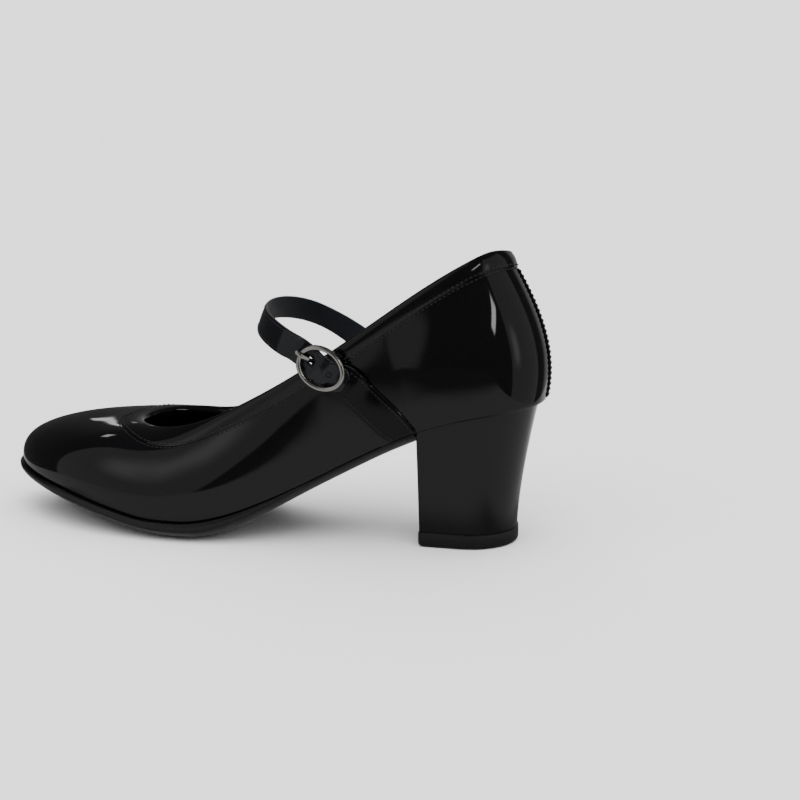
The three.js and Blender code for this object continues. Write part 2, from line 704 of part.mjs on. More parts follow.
// A station whose inner face stands off the wall: [x, z, half width in x, half width in z, lift].
function wallStation(side, [x, z, halfX, halfZ, lift], thickness) {
  const y = [-1, 0, 1].map((k) => onWall(side, x + k * halfX, z + k * halfZ).point.y * side);
  const middle = Math.max(y[1], (y[0] + y[2]) / 2) + lift + thickness / 2;
  return {
    middle: V(x, side * middle, z),
    across: V(halfX, (side * (y[2] - y[0])) / 2, halfZ),
    out: V(0, side, 0),
  };
}

// Buckle strap: stitched end of the fold, round the bar, out under the rim and down to the sole.
const chapeHalf = (along) => {
  const neck = THREE.MathUtils.smoothstep(Math.abs(along), 4, 9);
  return THREE.MathUtils.lerp(CHAPE_NECK_WIDTH, CHAPE_WIDTH, neck) / 2;
};
const foldArc = Array.from({ length: 9 }, (_, i) => {
  const angle = THREE.MathUtils.degToRad(-80 + 20 * i);
  return [FOLD_RADIUS * Math.cos(angle), -BAR_DROP + FOLD_RADIUS * Math.sin(angle)];
});
const chapePath = [
  [-13.5, FOLD_UNDER], [-9, FOLD_UNDER], [-5, FOLD_UNDER], [-2, FOLD_UNDER + 0.35], ...foldArc,
  [-1.6, -1.35], [-4.2, CHAPE_UNDER + 0.25], [-7, CHAPE_UNDER], [-10, CHAPE_UNDER], [-15, CHAPE_UNDER],
];
const CHAPE_WALL = stretchProfile([
  [42.7, 65.8, -4, 5.7, 0.9], [36.9, 60.5, -4.2, 5.5, 0.6], [31.2, 55, -4.7, 5, 0.4],
  [25.5, 49.5, -5.4, 2.6, 0.35],
]);
const buckleStrap = ribbon([
  ...ringStations(chapePath, chapeHalf),
  ...CHAPE_WALL.map((station) => wallStation(1, station, CHAPE_THICKNESS)),
], CHAPE_THICKNESS);
const ringBox = (fromAlong, toAlong, width, depth) => new THREE.BoxGeometry(toAlong - fromAlong, width, depth)
  .applyMatrix4(new THREE.Matrix4().makeBasis(ALONG, ACROSS, ALONG.clone().cross(ACROSS)))
  .translate(...ringPoint((fromAlong + toAlong) / 2, -BAR_DROP).toArray());
add("buckle_strap", cut(buckleStrap, ringBox(-2.6, 4, PRONG_SLOT, 5.6)), "patent");

// Instep strap: its end under the buckle, over the bar, round the front and down the inner side.
const strapPath = [
  [-12.4, STRAP_UNDER], [-10.5, STRAP_UNDER], [-8, STRAP_UNDER], [-6.2, STRAP_UNDER + 0.35],
  [-4.6, STRAP_UNDER + 1.25], [-3.2, HUMP - 0.55], [-1.6, HUMP - 0.05], [0, HUMP], [1.6, HUMP - 0.05],
  [3.2, HUMP - 0.55], [4.6, STRAP_UNDER + 1.25], [6.2, STRAP_UNDER + 0.35], [8, STRAP_UNDER],
  [10.5, STRAP_UNDER], [12.6, STRAP_UNDER],
];
const strapHalf = (along) => (
  (STRAP_WIDTH / 2) * (along < -9 ? Math.sqrt(1 - (((-9 - along) / 3.6) ** 2) * 0.75) : 1)
);
const LOOP = stretchPlan([
  [75.9, 29.4, 87.8], [82.4, 24.4, 90.4], [88, 17.4, 92.2], [91.4, 8.6, 93.4], [92.4, -1.6, 94],
  [91, -11.8, 93.6], [87.2, -21, 92.2], [81.2, -28.2, 89.6], [73.4, -32.8, 85.4], [64.6, -34.6, 80],
  [56, -34.2, 74.2],
]);
const LOOP_ACROSS = [V(-0.3, -0.1, 0.95), V(-0.42, 0.12, 0.9), V(-0.5, 0.34, 0.8)];
const INNER_WALL = stretchProfile([
  [47.4, 67.4, -3.1, 4.3, 0.9], [39.8, 61.6, -3.2, 4.2, 0.5], [32.6, 55.6, -3.5, 3.8, 0.4],
  [26.4, 49.8, -4.3, 2.1, 0.35],
]);
function instepStrap() {
  const buckled = ringStations(strapPath, strapHalf, -1);
  const anchored = INNER_WALL.map((station) => wallStation(-1, station, STRAP_THICKNESS));
  const points = LOOP.map(([x, y, z]) => V(x, y, z));
  const route = [buckled[buckled.length - 1].middle, ...points, anchored[0].middle];
  const loop = points.map((middle, i) => {
    const tangent = route[i + 2].clone().sub(route[i]).normalize();
    const leans = [ACROSS, ...LOOP_ACROSS, anchored[0].across.clone().normalize()];
    const place = ((i + 1) / (points.length + 1)) * (leans.length - 1);
    const across = leans[Math.floor(place)].clone().lerp(leans[Math.ceil(place)], place % 1);
    across.addScaledVector(tangent, -across.dot(tangent)).normalize();
    const out = across.clone().cross(tangent).normalize();
    return { middle, across: across.multiplyScalar(STRAP_WIDTH / 2), out };
  });
  return ribbon([...buckled, ...loop, ...anchored], STRAP_THICKNESS);
}
const PRONG_HOLE = [3.1, 6.4];
const spareHole = new THREE.CylinderGeometry(HOLE_RADIUS, HOLE_RADIUS, 5, 10).translate(
  ...ringPoint(PRONG_HOLE[0] + 1.8 - HOLE_PITCH, 0).toArray(),
);
add("instep_strap", cut(
  instepStrap(), ringBox(...PRONG_HOLE, PRONG_HOLE_WIDTH, 12), spareHole,
), "patent");

// A round bar swept along points, closed in a ring or capped; its section may be flattened.
function sweep(points, halfAcross, halfThick, closed = false, sides = 8) {
  return loft(points.map((p, i) => {
    const before = points[closed ? (i + points.length - 1) % points.length : Math.max(0, i - 1)];
    const after = points[closed ? (i + 1) % points.length : Math.min(points.length - 1, i + 1)];
    const tangent = after.clone().sub(before).normalize();
    const flat = Math.abs(tangent.dot(ACROSS)) > 0.999 ? ALONG.clone() : ACROSS.clone();
    const side = closed ? OUT.clone().cross(tangent).normalize()
      : flat.addScaledVector(tangent, -flat.dot(tangent)).normalize();
    const normal = tangent.clone().cross(side).normalize();
    return Array.from({ length: sides }, (_, k) => {
      const angle = (2 * Math.PI * (k + 0.5)) / sides;
      return p.clone().addScaledVector(side, halfAcross * Math.cos(angle))
        .addScaledVector(normal, halfThick * Math.sin(angle));
    });
  }), closed);
}

const RIM_STEPS = 32;
const rim = sweep(Array.from({ length: RIM_STEPS }, (_, i) => {
  const angle = (2 * Math.PI * i) / RIM_STEPS;
  return ringPoint((RING_LENGTH / 2) * Math.cos(angle), 0, (RING_WIDTH / 2) * Math.sin(angle));
}), RING_WIRE, RING_WIRE, true);
const barEnd = RING_WIDTH / 2;
const bar = sweep([
  [barEnd, 0], [barEnd - 0.7, -0.9], [barEnd - 1.6, -BAR_DROP + 0.3], [barEnd - 2.4, -BAR_DROP],
  [0, -BAR_DROP],
  [2.4 - barEnd, -BAR_DROP], [1.6 - barEnd, -BAR_DROP + 0.3], [0.7 - barEnd, -0.9], [-barEnd, 0],
].map(([across, out]) => ringPoint(0, out, across)), BAR_RADIUS, BAR_RADIUS);
add("buckle_frame", join(rim, bar), "buckle");

// The prong's eye is bent round the bar. Its shank comes up through the strap and rests on the rim.
const EYE_RADIUS = BAR_RADIUS + 0.25 + PRONG_HALF_THICKNESS;
const prongEye = Array.from({ length: 11 }, (_, i) => {
  const angle = THREE.MathUtils.degToRad(60 + 24 * i);
  return [EYE_RADIUS * Math.cos(angle), -BAR_DROP + EYE_RADIUS * Math.sin(angle)];
});
const REST = RING_WIRE + PRONG_HALF_THICKNESS + GAP;
const RIM_AT = RING_LENGTH / 2;
const prongPath = [
  ...prongEye, [3, -2.2], [5.1, -1], [6.3, -0.1], [RIM_AT - 2.3, 0.9], [RIM_AT - 1.2, REST - 0.2],
  [RIM_AT, REST], [RIM_AT + 1.4, REST - 0.15], [RIM_AT + 2.6, REST - 0.5],
];
add("buckle_prong", sweep(
  prongPath.map(([along, out]) => ringPoint(along, out)), PRONG_HALF_WIDTH, PRONG_HALF_THICKNESS,
), "buckle");

export default shoe;
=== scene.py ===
"""Looks for the patent strap shoe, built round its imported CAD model. Lengths below are millimetres."""
import math

import bmesh
import bpy
import numpy as np
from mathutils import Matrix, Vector


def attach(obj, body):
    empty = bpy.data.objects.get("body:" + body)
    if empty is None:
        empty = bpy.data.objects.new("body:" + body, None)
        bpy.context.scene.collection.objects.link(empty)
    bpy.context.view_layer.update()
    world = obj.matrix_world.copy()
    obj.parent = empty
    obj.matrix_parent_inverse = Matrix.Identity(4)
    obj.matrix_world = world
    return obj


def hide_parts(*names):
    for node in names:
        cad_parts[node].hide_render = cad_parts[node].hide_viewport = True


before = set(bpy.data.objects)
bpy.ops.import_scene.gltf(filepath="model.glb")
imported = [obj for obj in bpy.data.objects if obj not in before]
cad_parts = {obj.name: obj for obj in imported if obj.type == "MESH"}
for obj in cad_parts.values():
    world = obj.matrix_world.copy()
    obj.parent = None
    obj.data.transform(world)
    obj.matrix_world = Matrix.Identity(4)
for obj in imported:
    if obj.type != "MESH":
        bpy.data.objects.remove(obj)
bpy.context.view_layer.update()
MM = 0.001

# ---------------------------------------------------------------- the last, as in the CAD

OUTLINE = [
    [-29.5, 0], [-26, 13.5], [-14.5, 23.2], [3, 26.6], [24, 26.4], [48, 26.2],
    [73, 28.9], [99, 34.4], [126, 37], [153, 34.2], [178, 25.2], [198, 11.5],
    [209.2, -7], [204, -22.5], [189, -32], [165, -38], [138, -39], [110, -35],
    [83, -27.5], [57, -23], [32, -23.6], [5, -26.4], [-14.5, -23.2], [-26, -13.5],
]
TOPLINE = [
    [-13.2, 0, 123.4], [-9.4, 10.5, 125], [-2, 18.8, 122.6], [14, 23.8, 113.2], [33, 26.2, 99.8],
    [54, 27.2, 84.5], [77, 27.3, 69], [99, 26.2, 56.3], [118, 24.2, 47.8], [134, 19, 44.1],
    [143.5, 11.5, 43.2], [148, 5, 42.9], [149.5, -2.5, 42.8], [147.8, -10, 43],
    [142, -17, 43.4], [131, -23, 43.6], [115, -26.6, 43.2], [95, -28.2, 50.5],
    [73, -28.8, 65.3], [51, -28.2, 80.8], [31, -26.8, 94.5], [13, -24, 106.6],
    [-2, -18.8, 115.6], [-9.4, -10.5, 120.4],
]
FEATHER = [
    [-34, 62.7], [-3, 58.2], [20, 51.3], [34, 44.6], [50, 36.2], [70, 25.3], [90, 15.8],
    [105, 10.4], [120, 7.8], [135, 7.9], [150, 10.4], [165, 13.4], [185, 17], [216, 20.6],
]
TREAD = [
    [16, 48.2], [34, 39.8], [50, 31.2], [70, 20.2], [85, 11.8], [97, 5.8], [107, 2], [115, 0],
    [130, 0], [142, 1.5], [155, 4.1], [170, 7.1], [190, 11], [216, 15.2],
]
GAP = 0.3
PATENT = 1.1
LINING_DEPTH = 2.6
WALL_FOOT = 0.4
SOCK_LOW = 4.05
SOLE_RIM, WAIST_RIM = 1.7, 0.3
SOLE_EDGE_RISE, EDGE_CROWN = 4.6, 12
BREAST_X = 20.6
LIFT_HEIGHT = 6.5
SIDE_BULGE, BACK_BULGE = 3.2, 5


def unit(v):
    return v / np.maximum(np.linalg.norm(v, axis=-1, keepdims=True), 1e-12)


def smoothstep(x, low, high):
    s = np.clip((np.asarray(x, float) - low) / (high - low), 0, 1)
    return s * s * (3 - 2 * s)


def mix(a, b, w):
    return a + (b - a) * w


def arc_lengths(points):
    """How far along its points a line has come, at each of them."""
    return np.concatenate([[0], np.cumsum(np.linalg.norm(np.diff(points, axis=0), axis=1))])


def sampled(at, s, points):
    return np.stack([np.interp(at, s, points[:, i]) for i in range(points.shape[1])], 1)


def blur(line, step, soften):
    """A sampled line softened over that many millimetres, with its ends held in place."""
    reach = max(1, int(3 * soften / step))
    weights = np.exp(-0.5 * (np.arange(-reach, reach + 1) * step / soften) ** 2)
    weights /= weights.sum()
    padded = np.concatenate([2 * line[0] - line[reach:0:-1], line, 2 * line[-1] - line[-2:-reach - 2:-1]])
    return np.stack([np.convolve(padded[:, i], weights, mode="valid") for i in range(line.shape[1])], 1)


def profile(points):
    """A monotone cubic through [x, z] points, sampled and softened so that reflections flow over it."""
    p = np.array(points, float)
    x, z = p[:, 0], p[:, 1]
    d = np.diff(z) / np.diff(x)
    m = np.zeros(len(x))
    m[0], m[-1] = d[0], d[-1]
    same = d[:-1] * d[1:] > 0
    m[1:-1][same] = (2 * d[:-1] * d[1:])[same] / (d[:-1] + d[1:])[same]
    grid = np.linspace(x[0] - 20, x[-1] + 20, 1200)
    k = np.clip(np.searchsorted(x, grid, side="right") - 1, 0, len(x) - 2)
    h = x[k + 1] - x[k]
    t = (grid - x[k]) / h
    inside = (1 + 2 * t) * (1 - t) ** 2 * z[k] + t * (1 - t) ** 2 * h * m[k] \
        + t * t * (3 - 2 * t) * z[k + 1] - t * t * (1 - t) * h * m[k + 1]
    low, high = grid < x[0], grid > x[-1]
    inside[low] = z[0] + d[0] * (grid[low] - x[0])
    inside[high] = z[-1] + d[-1] * (grid[high] - x[-1])
    step = grid[1] - grid[0]
    reach = int(12 / step)
    weights = np.exp(-0.5 * (np.arange(-reach, reach + 1) * step / 3.5) ** 2)
    smooth = np.convolve(np.pad(inside, reach, mode="edge"), weights / weights.sum(), mode="valid")
    smooth[:reach], smooth[-reach:] = inside[:reach], inside[-reach:]
    return lambda q: np.interp(q, grid, smooth)


feather_z = profile(FEATHER)
tread_z = profile(TREAD)


def centripetal(p, samples):
    """A closed centripetal curve through the points, sampled evenly between them."""
    n = len(p)
    u = np.arange(samples) / samples * n
    k = np.floor(u).astype(int) % n
    w = (u - np.floor(u))[:, None]
    p0, p1, p2, p3 = (p[(k + d) % n] for d in (-1, 0, 1, 2))
    d0, d1, d2 = (np.sqrt(np.linalg.norm(b - a, axis=1, keepdims=True))
                  for a, b in ((p0, p1), (p1, p2), (p2, p3)))
    t1 = ((p1 - p0) / d0 - (p2 - p0) / (d0 + d1) + (p2 - p1) / d1) * d1
    t2 = ((p2 - p1) / d1 - (p3 - p1) / (d1 + d2) + (p3 - p2) / d2) * d1
    return p1 + t1 * w + (-3 * p1 + 3 * p2 - 2 * t1 - t2) * w ** 2 \
        + (2 * p1 - 2 * p2 + t1 + t2) * w ** 3


def closed_curve(points, soften=0.42, samples=3840):
    """The curve softened by a share of the points' spacing, and still led through the points."""
    p = np.array(points, float)
    sigma = soften * samples / len(p)
    keep = np.exp(-0.5 * (np.fft.fftfreq(samples) * 2 * np.pi * sigma) ** 2)[:, None]
    aimed = p.copy()
    for _ in range(3):
        q = np.fft.ifft(np.fft.fft(centripetal(aimed, samples), axis=0) * keep, axis=0).real
        aimed += 0.8 * (p - q[::samples // len(p)])

    def at(v):
        s = (np.asarray(v, float) % 1.0) * samples
        i = np.floor(s).astype(int) % samples
        f = (s - np.floor(s))[..., None]
        return mix(q[i], q[(i + 1) % samples], f)
    return at


outline_at = closed_curve([[x, y, 0] for x, y in OUTLINE])
topline_at = closed_curve(TOPLINE)


def outward(u):
    t = outline_at(u + 1e-3) - outline_at(u - 1e-3)
    return unit(np.stack([-t[..., 1], t[..., 0], np.zeros_like(t[..., 0])], -1))


def outline_point(u, inset):
    return outline_at(u) - outward(u) * inset


def wall(u, t):
    """The upper's outer surface: u round the shoe, t from the feather edge to the topline."""
    u, t = np.broadcast_arrays(np.asarray(u, float), np.asarray(t, float))
    foot = outline_at(u)
    foot[..., 2] = feather_z(foot[..., 0]) + WALL_FOOT
    top = topline_at(u)
    out = outward(u)
    height = top[..., 2] - foot[..., 2]
    reach = np.maximum(0, ((foot - top) * out).sum(-1))
    dome = smoothstep(reach / height, 0.1, 1.3)
    bulge = mix(SIDE_BULGE, BACK_BULGE, smoothstep(-foot[..., 0], 0, 26))
    up = np.zeros_like(foot)
    up[..., 2] = 1
    low = foot + out * bulge[..., None] + up * (height * mix(0.34, 0.74, dome))[..., None]
    high = top + out * (0.62 * reach + 1.5)[..., None] - up * (height * mix(0.34, -0.04, dome))[..., None]
    s = t[..., None]
    r = 1 - s
    return r ** 3 * foot + 3 * r * r * s * low + 3 * r * s * s * high + s ** 3 * top


def wall_normal(u, t):
    along = wall(u + 1.5e-3, t) - wall(u - 1.5e-3, t)
    t = np.asarray(t, float)
    up = wall(u, np.minimum(1, t + 0.01)) - wall(u, np.maximum(0, t - 0.01))
    return unit(np.cross(up, along))


def wall_depth(u, t, depth):
    u, t, depth = np.broadcast_arrays(np.asarray(u, float), np.asarray(t, float), np.asarray(depth, float))
    return wall(u, t) - wall_normal(u, t) * depth[..., None]


RING_COUNT = 320
U_RING = np.arange(RING_COUNT) / RING_COUNT
BAND, BAND_THROAT = 6.6, 9.6


def band_start(u):
    """Where the topline band begins, as t, for each u."""
    ts = np.linspace(1, 0.5, 160)
    points = wall(np.asarray(u)[:, None], ts[None, :])
    away = np.linalg.norm(points - points[:, :1], axis=-1)
    width = mix(BAND, BAND_THROAT, smoothstep(points[:, 0, 0], 95, 140))
    return np.array([np.interp(w, a, ts) for w, a in zip(width, away)])


# ---------------------------------------------------------------- mesh helpers

def make(name, points, faces, material, extra=(), sharp=40):
    mesh = bpy.data.meshes.new(name)
    mesh.from_pydata((np.asarray(points, float).reshape(-1, 3) * MM).tolist(), [], faces)
    bm = bmesh.new()
    bm.from_mesh(mesh)
    bmesh.ops.remove_doubles(bm, verts=bm.verts, dist=2e-6)
    bmesh.ops.dissolve_degenerate(bm, edges=bm.edges, dist=1e-7)
    bmesh.ops.recalc_face_normals(bm, faces=bm.faces)
    bm.to_mesh(mesh)
    bm.free()
    mesh.shade_smooth()
    mesh.set_sharp_from_angle(angle=math.radians(sharp))
    for m in (material, *extra):
        mesh.materials.append(m)
    obj = bpy.data.objects.new(name, mesh)
    bpy.context.scene.collection.objects.link(obj)
    return obj


def loft_faces(rows, columns, loop, caps=True):
    faces = []
    for i in range(rows if loop else rows - 1):
        a, b = i * columns, ((i + 1) % rows) * columns
        faces += [[a + j, a + (j + 1) % columns, b + (j + 1) % columns, b + j] for j in range(columns)]
    if caps and not loop:
        faces += [list(range(columns))[::-1], [(rows - 1) * columns + j for j in range(columns)]]
    return faces


def loft(name, sections, material, loop=False, **more):
    s = np.asarray(sections, float)
    return make(name, s, loft_faces(s.shape[0], s.shape[1], loop), material, **more)


def fit_piece(obj, body, slot, *nodes):
    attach(obj, body)
    if nodes:
        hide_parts(*nodes)
    return obj


# ---------------------------------------------------------------- materials

def new_material(name):
    m = bpy.data.materials.new(name)
    m.use_nodes = True
    nodes, links = m.node_tree.nodes, m.node_tree.links
    shader = nodes["Principled BSDF"]
    coords = nodes.new("ShaderNodeTexCoord")
    return m, nodes, links, shader, coords.outputs["Object"]


def noise(nodes, links, coords, scale, detail=2.0, stretch=None):
    n = nodes.new("ShaderNodeTexNoise")
    n.inputs["Scale"].default_value = scale
    n.inputs["Detail"].default_value = detail
    if stretch:
        mapping = nodes.new("ShaderNodeMapping")
        mapping.inputs["Scale"].default_value = stretch
        links.new(coords, mapping.inputs["Vector"])
        coords = mapping.outputs["Vector"]
    links.new(coords, n.inputs["Vector"])
    return n.outputs["Fac"]


def ramp(nodes, links, fac, low, high, start=0.3, end=0.7):
    r = nodes.new("ShaderNodeMapRange")
    r.inputs["From Min"].default_value = start
    r.inputs["From Max"].default_value = end
    r.inputs["To Min"].default_value = low
    r.inputs["To Max"].default_value = high
    links.new(fac, r.inputs["Value"])
    return r.outputs["Result"]


def tint(nodes, links, fac, low, high):
    m = nodes.new("ShaderNodeMix")
    m.data_type = "RGBA"
    m.inputs["A"].default_value = (*low, 1)
    m.inputs["B"].default_value = (*high, 1)
    links.new(fac, m.inputs["Factor"])
    return m.outputs["Result"]


def bump(nodes, links, heights):
    """Bumps chained from (height, distance in metres) pairs."""
    normal = None
    for height, distance in heights:
        b = nodes.new("ShaderNodeBump")
        b.inputs["Distance"].default_value = distance
        b.inputs["Strength"].default_value = 1
        links.new(height, b.inputs["Height"])
        if normal:
            links.new(normal, b.inputs["Normal"])
        normal = b.outputs["Normal"]
    return normal


def patent(name, wave=0.00022, rough=(0.03, 0.06), base=(0.0014, 0.0014, 0.0017), shine=0.5):
    m, nodes, links, s, xyz = new_material(name)
    broad = noise(nodes, links, xyz, 34, 1)
    fine = noise(nodes, links, xyz, 900, 2)
    links.new(tint(nodes, links, broad, base, [c * 1.5 for c in base]), s.inputs["Base Color"])
    links.new(ramp(nodes, links, noise(nodes, links, xyz, 60, 3), *rough), s.inputs["Roughness"])
    links.new(bump(nodes, links, [(broad, wave), (fine, 0.0000016)]), s.inputs["Normal"])
    s.inputs["IOR"].default_value = 1.5
    s.inputs["Specular IOR Level"].default_value = shine
    return m


def leather_lining(name, base, grain=1300):
    m, nodes, links, s, xyz = new_material(name)
    cells = nodes.new("ShaderNodeTexVoronoi")
    cells.inputs["Scale"].default_value = grain
    links.new(xyz, cells.inputs["Vector"])
    cloud = noise(nodes, links, xyz, 90, 4)
    links.new(tint(nodes, links, cloud, [c * 0.8 for c in base], [c * 1.35 for c in base]),
              s.inputs["Base Color"])
    links.new(ramp(nodes, links, cloud, 0.5, 0.68), s.inputs["Roughness"])
    links.new(bump(nodes, links, [(cells.outputs["Distance"], 0.00006)]), s.inputs["Normal"])
    s.inputs["Sheen Weight"].default_value = 0.05
    s.inputs["Specular IOR Level"].default_value = 0.3
    return m


def moulded(name, base, rough, grain, depth, coarse=140):
    """Solid rubber, resin or plastic: fine skin texture, and faint uneven gloss."""
    m, nodes, links, s, xyz = new_material(name)
    cloud = noise(nodes, links, xyz, coarse, 4)
    skin = noise(nodes, links, xyz, grain, 3)
    links.new(tint(nodes, links, cloud, base, [c * 1.5 for c in base]), s.inputs["Base Color"])
    links.new(ramp(nodes, links, cloud, *rough), s.inputs["Roughness"])
    links.new(bump(nodes, links, [(skin, depth)]), s.inputs["Normal"])
    return m


def woven(name, base, pitch):
    m, nodes, links, s, xyz = new_material(name)
    waves = []
    for axis in ("X", "Z"):
        w = nodes.new("ShaderNodeTexWave")
        w.bands_direction = axis
        w.inputs["Scale"].default_value = pitch
        w.inputs["Distortion"].default_value = 1.2
        links.new(xyz, w.inputs["Vector"])
        waves.append(w.outputs["Fac"])
    both = nodes.new("ShaderNodeMath")
    both.operation = "MULTIPLY"
    links.new(waves[0], both.inputs[0])
    links.new(waves[1], both.inputs[1])
    links.new(tint(nodes, links, both.outputs[0], [c * 0.7 for c in base], base), s.inputs["Base Color"])
    links.new(bump(nodes, links, [(both.outputs[0], 0.0001)]), s.inputs["Normal"])
    s.inputs["Roughness"].default_value = 0.85
    return m


def metal(name, base, rough, stretch=(60, 900, 900)):
    m, nodes, links, s, xyz = new_material(name)
    lines = noise(nodes, links, xyz, 1, 3, stretch)
    cloud = noise(nodes, links, xyz, 220, 2)
    links.new(tint(nodes, links, cloud, [c * 0.85 for c in base], base), s.inputs["Base Color"])
    links.new(ramp(nodes, links, lines, *rough), s.inputs["Roughness"])
    links.new(bump(nodes, links, [(lines, 0.000004)]), s.inputs["Normal"])
    s.inputs["Metallic"].default_value = 1
    return m


PATENT_UPPER = patent("patent_upper")
PATENT_BAND = patent("patent_band", wave=0.00006, rough=(0.05, 0.1))
PATENT_HEEL = patent("patent_heel", wave=0.00004, rough=(0.1, 0.17))
PATENT_STRAP = patent("patent_strap", wave=0.00005, rough=(0.05, 0.1), base=(0.003, 0.0033, 0.0042))
PATENT_CHAPE = patent("patent_chape", wave=0.0001, rough=(0.05, 0.1), shine=0.27)
LINING = leather_lining("lining_leather", (0.0085, 0.009, 0.0105))
STRAP_BACK = leather_lining("strap_backing", (0.0125, 0.0145, 0.019), 1800)
SOCK = leather_lining("sock_leather", (0.009, 0.009, 0.0098), 900)
SOLE = moulded("sole_resin", (0.0028, 0.0028, 0.003), (0.24, 0.38), 1500, 0.000012)
LIFT = moulded("lift_rubber", (0.0035, 0.0035, 0.0037), (0.34, 0.46), 1900, 0.00002)
EDGE = moulded("cut_edge", (0.02, 0.02, 0.021), (0.3, 0.42), 1200, 0.00001)
THREAD = woven("thread", (0.022, 0.022, 0.024), 9000)
BUCKLE = metal("buckle_metal", (0.55, 0.53, 0.50), (0.16, 0.3))
STEEL = metal("drawn_steel", (0.5, 0.5, 0.51), (0.25, 0.4))
BOARD = moulded("fibre_board", (0.3, 0.21, 0.12), (0.8, 0.95), 1300, 0.00008, 400)
STIFFENER = woven("stiffener_cloth", (0.6, 0.56, 0.48), 2200)
CORE = moulded("heel_plastic", (0.03, 0.03, 0.031), (0.4, 0.55), 1500, 0.00001)
# Near-black matte: painted shade for the spare hole in the strap and for the prong where it lies down in its
# hole.
HOLE_SHADE = moulded("painted_hole_shade", (0.001, 0.001, 0.001), (0.8, 0.9), 1500, 0.00001)

for names, material in (
    (("insole_board", "bottom_filler"), BOARD), (("toe_puff", "heel_counter"), STIFFENER),
    (("shank", "shank_rivet_1", "shank_rivet_2", "heel_screw", "heel_nail_1", "heel_nail_2",
      "heel_nail_3", "heel_nail_4", "lift_pin_1", "lift_pin_2"), STEEL), (("heel_core",), CORE),
):
    for node in names:
        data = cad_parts[node].data
        data.materials.clear()
        data.materials.append(material)

# ---------------------------------------------------------------- upper

ring = U_RING[:, None]
start = band_start(U_RING)[:, None]


def rows_between(low, high, count):
    return np.linspace(0, 1, count)[None, :] * (high - low) + low


def upper():
    t = rows_between(0 * start, 1 + 0 * start, 64)
    outer = wall_depth(ring, t, 0)
    inner = wall_depth(ring, t[:, ::-1][:, ::4], PATENT)
    turn = []
    for inset, rise in ((0.25, -0.12), (0.9, -0.25), (4, -0.25)):
        p = outline_point(U_RING, inset)
        p[:, 2] = feather_z(p[:, 0]) + WALL_FOOT + rise
        turn.append(p)
    turn = np.stack(turn, 1)[:, ::-1]
    sections = np.concatenate([turn, outer, inner], 1)
    return loft("upper_skin", sections, PATENT_UPPER, loop=True, sharp=55)


fit_piece(upper(), "shoe", "patent", "upper")


BAND_FOLD_MIDDLE, BAND_FOLD_RISE = 0.85, 1.35


# Padded topline band: fullest a third of the way up, folded over the edge and tucked at the stitching.
def band():
    edge = wall(U_RING, np.ones(RING_COUNT))
    up = unit(edge - wall(U_RING, np.full(RING_COUNT, 0.97)))
    out = wall_normal(U_RING, np.ones(RING_COUNT))
    share = np.linspace(0, 1, 16)
    t = start + (1 - start) * share[None, :]
    height = 0.12 + 1.25 * np.sin(np.pi * np.clip(share * 0.62 + 0.02, 0, 1)) ** 0.8
    lower = wall_depth(ring, t, -height[None, :])
    half = BAND_FOLD_MIDDLE + height[-1]
    turn = [edge - out * (BAND_FOLD_MIDDLE - half * math.cos(a)) + up * (BAND_FOLD_RISE * math.sin(a))
            for a in np.linspace(0, np.pi, 13)[1:]]
    width = 1 - start[:, 0]
    flange = [wall_depth(U_RING, 1 - width * down, depth)
              for down, depth in ((0.2, 2.62), (0.45, 2.62), (0.5, 2.2))]
    inside = [wall_depth(U_RING, 1 - width * (1 - up_share), 1.9) for up_share in np.linspace(0.5, 1, 4)]
    under = [wall_depth(U_RING, start[:, 0] + width * up_share, 0.05) for up_share in (0.9, 0.5, 0.1)]
    section = np.concatenate([lower, np.stack(turn + flange + inside + under, 1)], 1)
    return loft("topline_band", section, PATENT_BAND, loop=True, sharp=60)


fit_piece(band(), "shoe", "patent", "topline_binding")


# Stitches are short threads laid along a path and sunk a little into it.
def stitches(name, points, normals, pitch=2.1, length=1.5, radius=0.27, closed=True, sink=0.04):
    p = np.asarray(points, float)
    n = unit(np.asarray(normals, float))
    if closed:
        p, n = np.vstack([p, p[:1]]), np.vstack([n, n[:1]])
    s = arc_lengths(p)
    count = max(2, int(round(s[-1] / pitch)))
    at = (np.arange(count) + 0.5) * s[-1] / count
    middle = sampled(at, s, p)
    normal = unit(sampled(at, s, n))
    along = unit(sampled(at + 0.3, s, p) - sampled(at - 0.3, s, p))
    side = unit(np.cross(normal, along))
    verts, faces = [], []
    rings = [(-0.5, 0.35, -0.5), (-0.38, 0.85, 0.1), (0, 1, 0.6), (0.38, 0.85, 0.1), (0.5, 0.35, -0.5)]
    for c, a, b, d in zip(middle, along, side, normal):
        base = len(verts)
        for place, size, lift in rings:
            for k in range(6):
                angle = math.pi * k / 3
                verts.append(c + a * place * length
                             + (b * math.cos(angle) + d * math.sin(angle)) * radius * size
                             + d * (lift * radius - sink))
        for i in range(len(rings) - 1):
            for k in range(6):
                faces.append([base + i * 6 + k, base + i * 6 + (k + 1) % 6,
                              base + (i + 1) * 6 + (k + 1) % 6, base + (i + 1) * 6 + k])
        last = base + (len(rings) - 1) * 6
        faces += [[base + k for k in range(6)][::-1], [last + k for k in range(6)]]
    return make(name, verts, faces, THREAD, sharp=80)


band_start_t = start[:, 0]
span = np.linalg.norm(wall(U_RING, np.ones(RING_COUNT)) - wall(U_RING, band_start_t), axis=1)
ROW_ON_BAND, ROW_BELOW = 1.0, 0.75
on_band = band_start_t + (1 - band_start_t) * (ROW_ON_BAND / span)
below = band_start_t - (1 - band_start_t) * (ROW_BELOW / span)
fit_piece(stitches("band_stitches", wall_depth(U_RING, on_band, -0.62), wall_normal(U_RING, on_band)),
          "shoe", "patent")
fit_piece(stitches("band_stitches_lower", wall_depth(U_RING, below, -0.08), wall_normal(U_RING, below)),
          "shoe", "patent")


